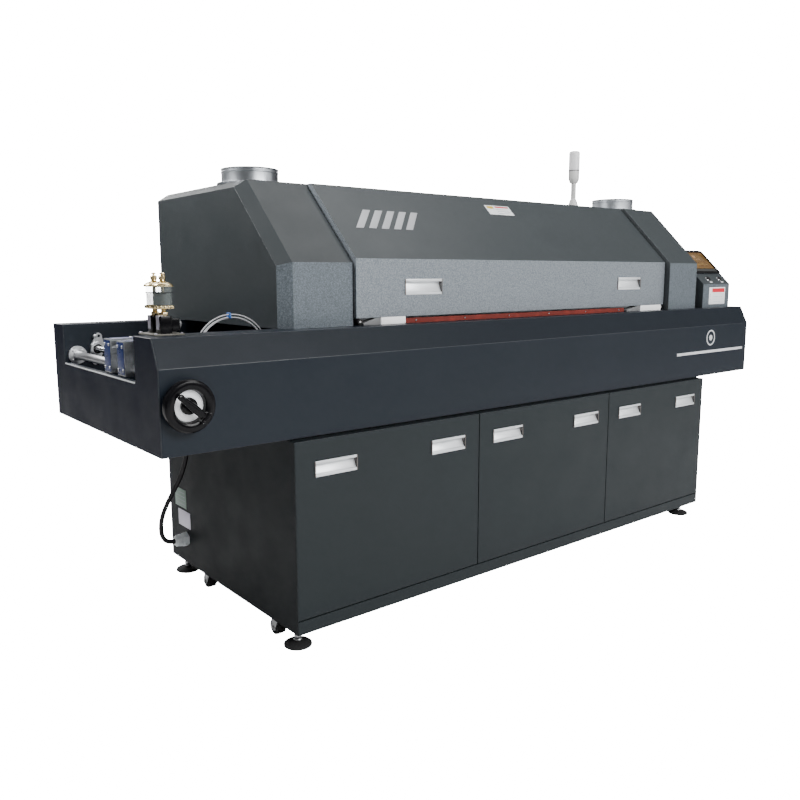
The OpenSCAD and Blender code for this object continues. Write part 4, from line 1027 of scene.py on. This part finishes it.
def electrics():
    """The plate in the cabinet, with its breakers, supply, controller, relays, drives and terminals."""
    back = 698  # the plate's front face
    made = Solids()

    def device(paint, x, z, w, h, depth, front=0.0, rounding=1.0):
        made.paint = paint
        made.box((x, back - depth, z), (x + w, back - front, z + h), rounding)

    def screw(x, z, depth, radius, height):
        made.paint = zinc
        made.screw((x, back - depth, z), "y", -1, radius, height)

    zinc, pale, black, grey, alloy, green, red = range(7)
    made.box((450, back, 120), (2040, back + 3, 500), 0.6)
    for x in (470, 1240, 2000):
        made.box((x, back, 56), (x + 30, back + 3, 120))
    for x in (470, 1240, 2020):
        for z in (135, 485):
            screw(x, z, 0, 4.5, 3)
    device(zinc, 490, 430, 236, 35, 6)
    for i in range(8):
        x = 500 + i * 27
        device(pale, x, 400, 26, 80, 44, 0, 0.8)
        device(pale, x, 420, 26, 40, 64, 44, 1.2)
        device(black, x + 8, 432, 10, 22, 70, 62, 1.6)
        for z in (408, 472):
            screw(x + 13, z, 44, 4, 1.6)
    device(zinc, 800, 380, 200, 110, 56, 0, 1.4)
    for k in range(16):
        device(black, 812 + 11 * k, 400, 4, 58, 56.4, 56, 0)
    device(pale, 806, 381, 188, 14, 60, 50, 1)
    device(grey, 1040, 390, 240, 95, 75, 0, 3)
    for z in (394, 467):
        device(black, 1048, z, 224, 14, 77, 70, 1)
        for k in range(20):
            screw(1056 + 11 * k, z + 7, 77, 3, 0.8)
    device(pale, 1060, 418, 120, 40, 75.6, 74, 0.4)
    for k in range(8):
        device(green, 1200 + 8 * k, 442, 4, 4, 75.6, 74, 0.4)
    device(alloy, 500, 180, 520, 120, 8, 0, 0.6)
    for k in range(53):
        device(alloy, 501 + 9.8 * k, 182, 3, 116, 20, 8, 0)
    for i in range(8):
        x = 515 + i * 63
        device(black, x, 205, 45, 60, 44, 20, 2)
        device(pale, x + 5, 216, 35, 38, 46, 42, 1)
        device(red, x + 8, 256, 4, 4, 45, 43, 0.5)
        for z in (211, 259):
            screw(x + 22, z, 44, 4, 2)
    for i in range(3):
        x = 1340 + i * 130
        device(grey, x, 330, 90, 150, 116, 0, 3)
        device(black, x + 8, 420, 74, 50, 118, 114, 1.5)
        device(green, x + 20, 448, 40, 14, 118.6, 117, 0.6)
        made.paint = black
        made.lathe([(0, 0), (9, 0), (8, -4), (0, -4)], (x + 45, back - 116, 400), "y", 32)
        for k in range(7):
            device(black, x + 10, 340 + 6 * k, 70, 2.6, 116.5, 115, 0)
    for k in range(40):
        device(pale if k % 8 else green, 1100 + 20 * k, 180, 18.6, 40, 42, 0, 1)
        for z in (190, 210):
            screw(1109 + 20 * k, z, 42, 4, 1.6)
    made.piece("electrical_plate_and_devices",
               [ZINC, WHITE, BLACK_MATT, GREY_PLASTIC, IMPELLER, LABEL_GREEN, LABEL_RED],
               "root", "electrics", "electrical_panel")


# ---- plates and marks ----

def marks():
    side = Solids()
    side.box((324.4, 634, 228), (325, 715, 288), 0.2)
    side.paint = 1
    side.box((324.4, 609, 168), (325, 696, 220), 0.2)
    side.paint = 2
    for k in range(4):
        side.box((324.2, 642, 238 + 12 * k), (324.5, 642 + (60, 48, 64, 40)[k], 240 + 12 * k))
    side.piece("side_plates", [LABEL_GREEN, LABEL_LILAC, LABEL_GREY], "root", "cabinet_paint")
    lid = Solids()
    lid.stand = leaning(0, LID_FRONT, LID_BEND, math.radians(45))
    for k in range(5):
        x = 640 + 44 * k
        low, high = 119, 195
        lid.prism([(x, low), (x + 26, low), (x + 26 + 62, high), (x + 62, high)], 0, 0.7, "z", 0.2)
    lid.paint = 1
    lid.box((1226, 212, 0), (1340, 256, 0.5), 0.2)
    lid.paint = 2
    for k in range(3):
        lid.box((1270, 218 + 9 * k, 0.4), (1270 + (50, 62, 40)[k], 220 + 9 * k, 0.7))
    lid.paint = 3
    lid.box((1232, 240, 0.4), (1262, 252, 0.7))
    lid.paint = 4
    lid.box((1270, 246, 0.4), (1334, 252, 0.7))
    lid.piece("lid_marks", [MARK_GREY, LABEL_WHITE, LABEL_GREY, LABEL_AMBER, LABEL_RED], "lid", "hood_paint")
    beam = Solids()
    beam.lathe([(25, -0.7), (30, -0.7), (30, 0), (25, 0)], (2222, 0, 700), "y", 72)
    beam.lathe([(0, -0.7), (11, -0.7), (11, 0), (0, 0)], (2222, 0, 700), "y", 48)
    beam.box((1990, -0.6, 642), (2470, 0, 652), 0.2)
    beam.piece("beam_emblem", MARK, "root", "beam_paint")
    pad = Solids()
    for x in (590, 1992):
        pad.paint = 0
        pad.lathe([(0, 78), (7.4, 78), (8, 79), (8, 92), (0, 92)], (x, 0, 822), "y", 32)
        pad.paint = 1
        pad.lathe([(0, 76.6), (2.4, 77), (3, 78.4), (0, 78.4)], (x, 0, 822), "y", 20)
    pad.piece("lid_stop_knobs", [BLACK_MATT, WHITE], "root", "seal_rubber")
    rests = Solids()
    for left, middle, right in ((602, 660, 746), (1778, 1860, 1990)):
        rests.paint = 0
        rests.box((middle, 77, BEAM_TOP), (right, 107, LID_BOTTOM), 2)
        # painted shade: the grey wedge stands for the shaded left side of each white block
        rests.paint = 1
        rests.prism([(left, BEAM_TOP), (middle, BEAM_TOP), (middle, LID_BOTTOM), (middle - 12, LID_BOTTOM),
                     (left, BEAM_TOP + 6)], 79, 105, "y", 0.8)
    rests.piece("lid_rest_blocks_and_shade_wedges", [WHITE_PAD, GREY_PLASTIC],
                "root", "white_plastic", "lid_rest_pads")
    seal = Solids()
    for k in range(6):
        seal.screw((790 + 190 * k, 85.9, 819), "y", -1, 2.6, 1.6)
    seal.piece("seal_screws", BOLT, "root", "seal_rubber")


pulls()
exhaust_collars()
handwheel()
lubricators()
lead_screw("infeed_lead_screw", 88, 78, (84, 102))
lead_screw("outfeed_lead_screw", 2412, 96, (102,))
rails()
feet_and_casters()
console()
beacon()
electrics()
marks()


# ---- studio ----

SEEN_WHITE = 22.0  # how strongly the floor and the background shine in the camera's own rays


def floor():
    mesh = bpy.data.meshes.new("floor")
    reach = 14
    mesh.from_pydata([(-reach, -reach, 0), (reach, -reach, 0), (reach, reach, 0), (-reach, reach, 0)],
                     [], [(0, 1, 2, 3)])
    r = Recipe("pale_floor", (0.86, 0.86, 0.86), 0.7)
    r.colours(r.noise(0.8, 2.0), (0.85, 0.85, 0.85), (0.88, 0.88, 0.88))
    # the camera sees it as a bright studio sweep; it lights the oven only by what falls on it
    ray = r.node("LightPath").outputs["Is Camera Ray"]
    r.set("Emission Color", (1, 1, 1, 1))
    r.set("Emission Strength", r.node("Math", {0: ray, 1: SEEN_WHITE}, operation="MULTIPLY").outputs[0])
    mesh.materials.append(r.material)
    linked("floor", mesh)


def softbox(name, place, aim, size, power):
    data = bpy.data.lights.new(name, "AREA")
    data.shape = "RECTANGLE"
    data.size, data.size_y = size
    data.energy = power
    obj = linked(name, data)
    obj.location = place
    obj.rotation_mode = "QUATERNION"
    obj.rotation_quaternion = (Vector(aim) - Vector(place)).to_track_quat("-Z", "Y")
    obj.visible_camera = False


def studio_world():
    """White where the camera sees it, and a softly banded studio where the oven reflects it."""
    world = bpy.data.worlds.new("studio")
    bpy.context.scene.world = world
    world.use_nodes = True
    nodes, links = world.node_tree.nodes, world.node_tree.links
    nodes.clear()
    out, pick, seen, lit, path, place, spot, ramp = (nodes.new("ShaderNode" + kind) for kind in (
        "OutputWorld", "MixShader", "Background", "Background", "LightPath", "TexCoord", "SeparateXYZ",
        "ValToRGB"))
    seen.inputs[0].default_value = (1, 1, 1, 1)
    seen.inputs[1].default_value = SEEN_WHITE
    links.new(place.outputs["Generated"], spot.inputs[0])
    links.new(spot.outputs["Z"], ramp.inputs[0])
    stops = ramp.color_ramp.elements
    stops[0].position, stops[0].color = 0.0, (0.1, 0.105, 0.115, 1)
    stops[1].position, stops[1].color = 0.75, (1.0, 1.0, 1.0, 1)
    links.new(ramp.outputs[0], lit.inputs[0])
    lit.inputs[1].default_value = 0.26
    links.new(path.outputs["Is Camera Ray"], pick.inputs[0])
    links.new(lit.outputs[0], pick.inputs[1])
    links.new(seen.outputs[0], pick.inputs[2])
    links.new(pick.outputs[0], out.inputs[0])


def studio():
    floor()
    studio_world()
    softbox("key_light", (0.6, -5.0, 3.4), (0.1, 0, 0.8), (4.0, 2.0), 330)
    softbox("fill_light", (3.8, -3.4, 2.0), (0.2, 0, 0.7), (2.4, 2.4), 26)
    softbox("side_light", (-1.85, 0.4, 1.95), (-0.9, 0.02, 0.98), (0.6, 0.6), 25)
    softbox("back_left_light", (-0.9, 5.2, 3.2), (-0.2, 0, 0.6), (2.6, 2.0), 90)
    softbox("back_right_light", (3.0, 4.6, 3.0), (0.2, 0, 0.6), (2.6, 2.0), 120)
    softbox("roof_light", (0.4, 0.4, 4.6), (0, 0, 1), (5.0, 2.0), 80)


studio()
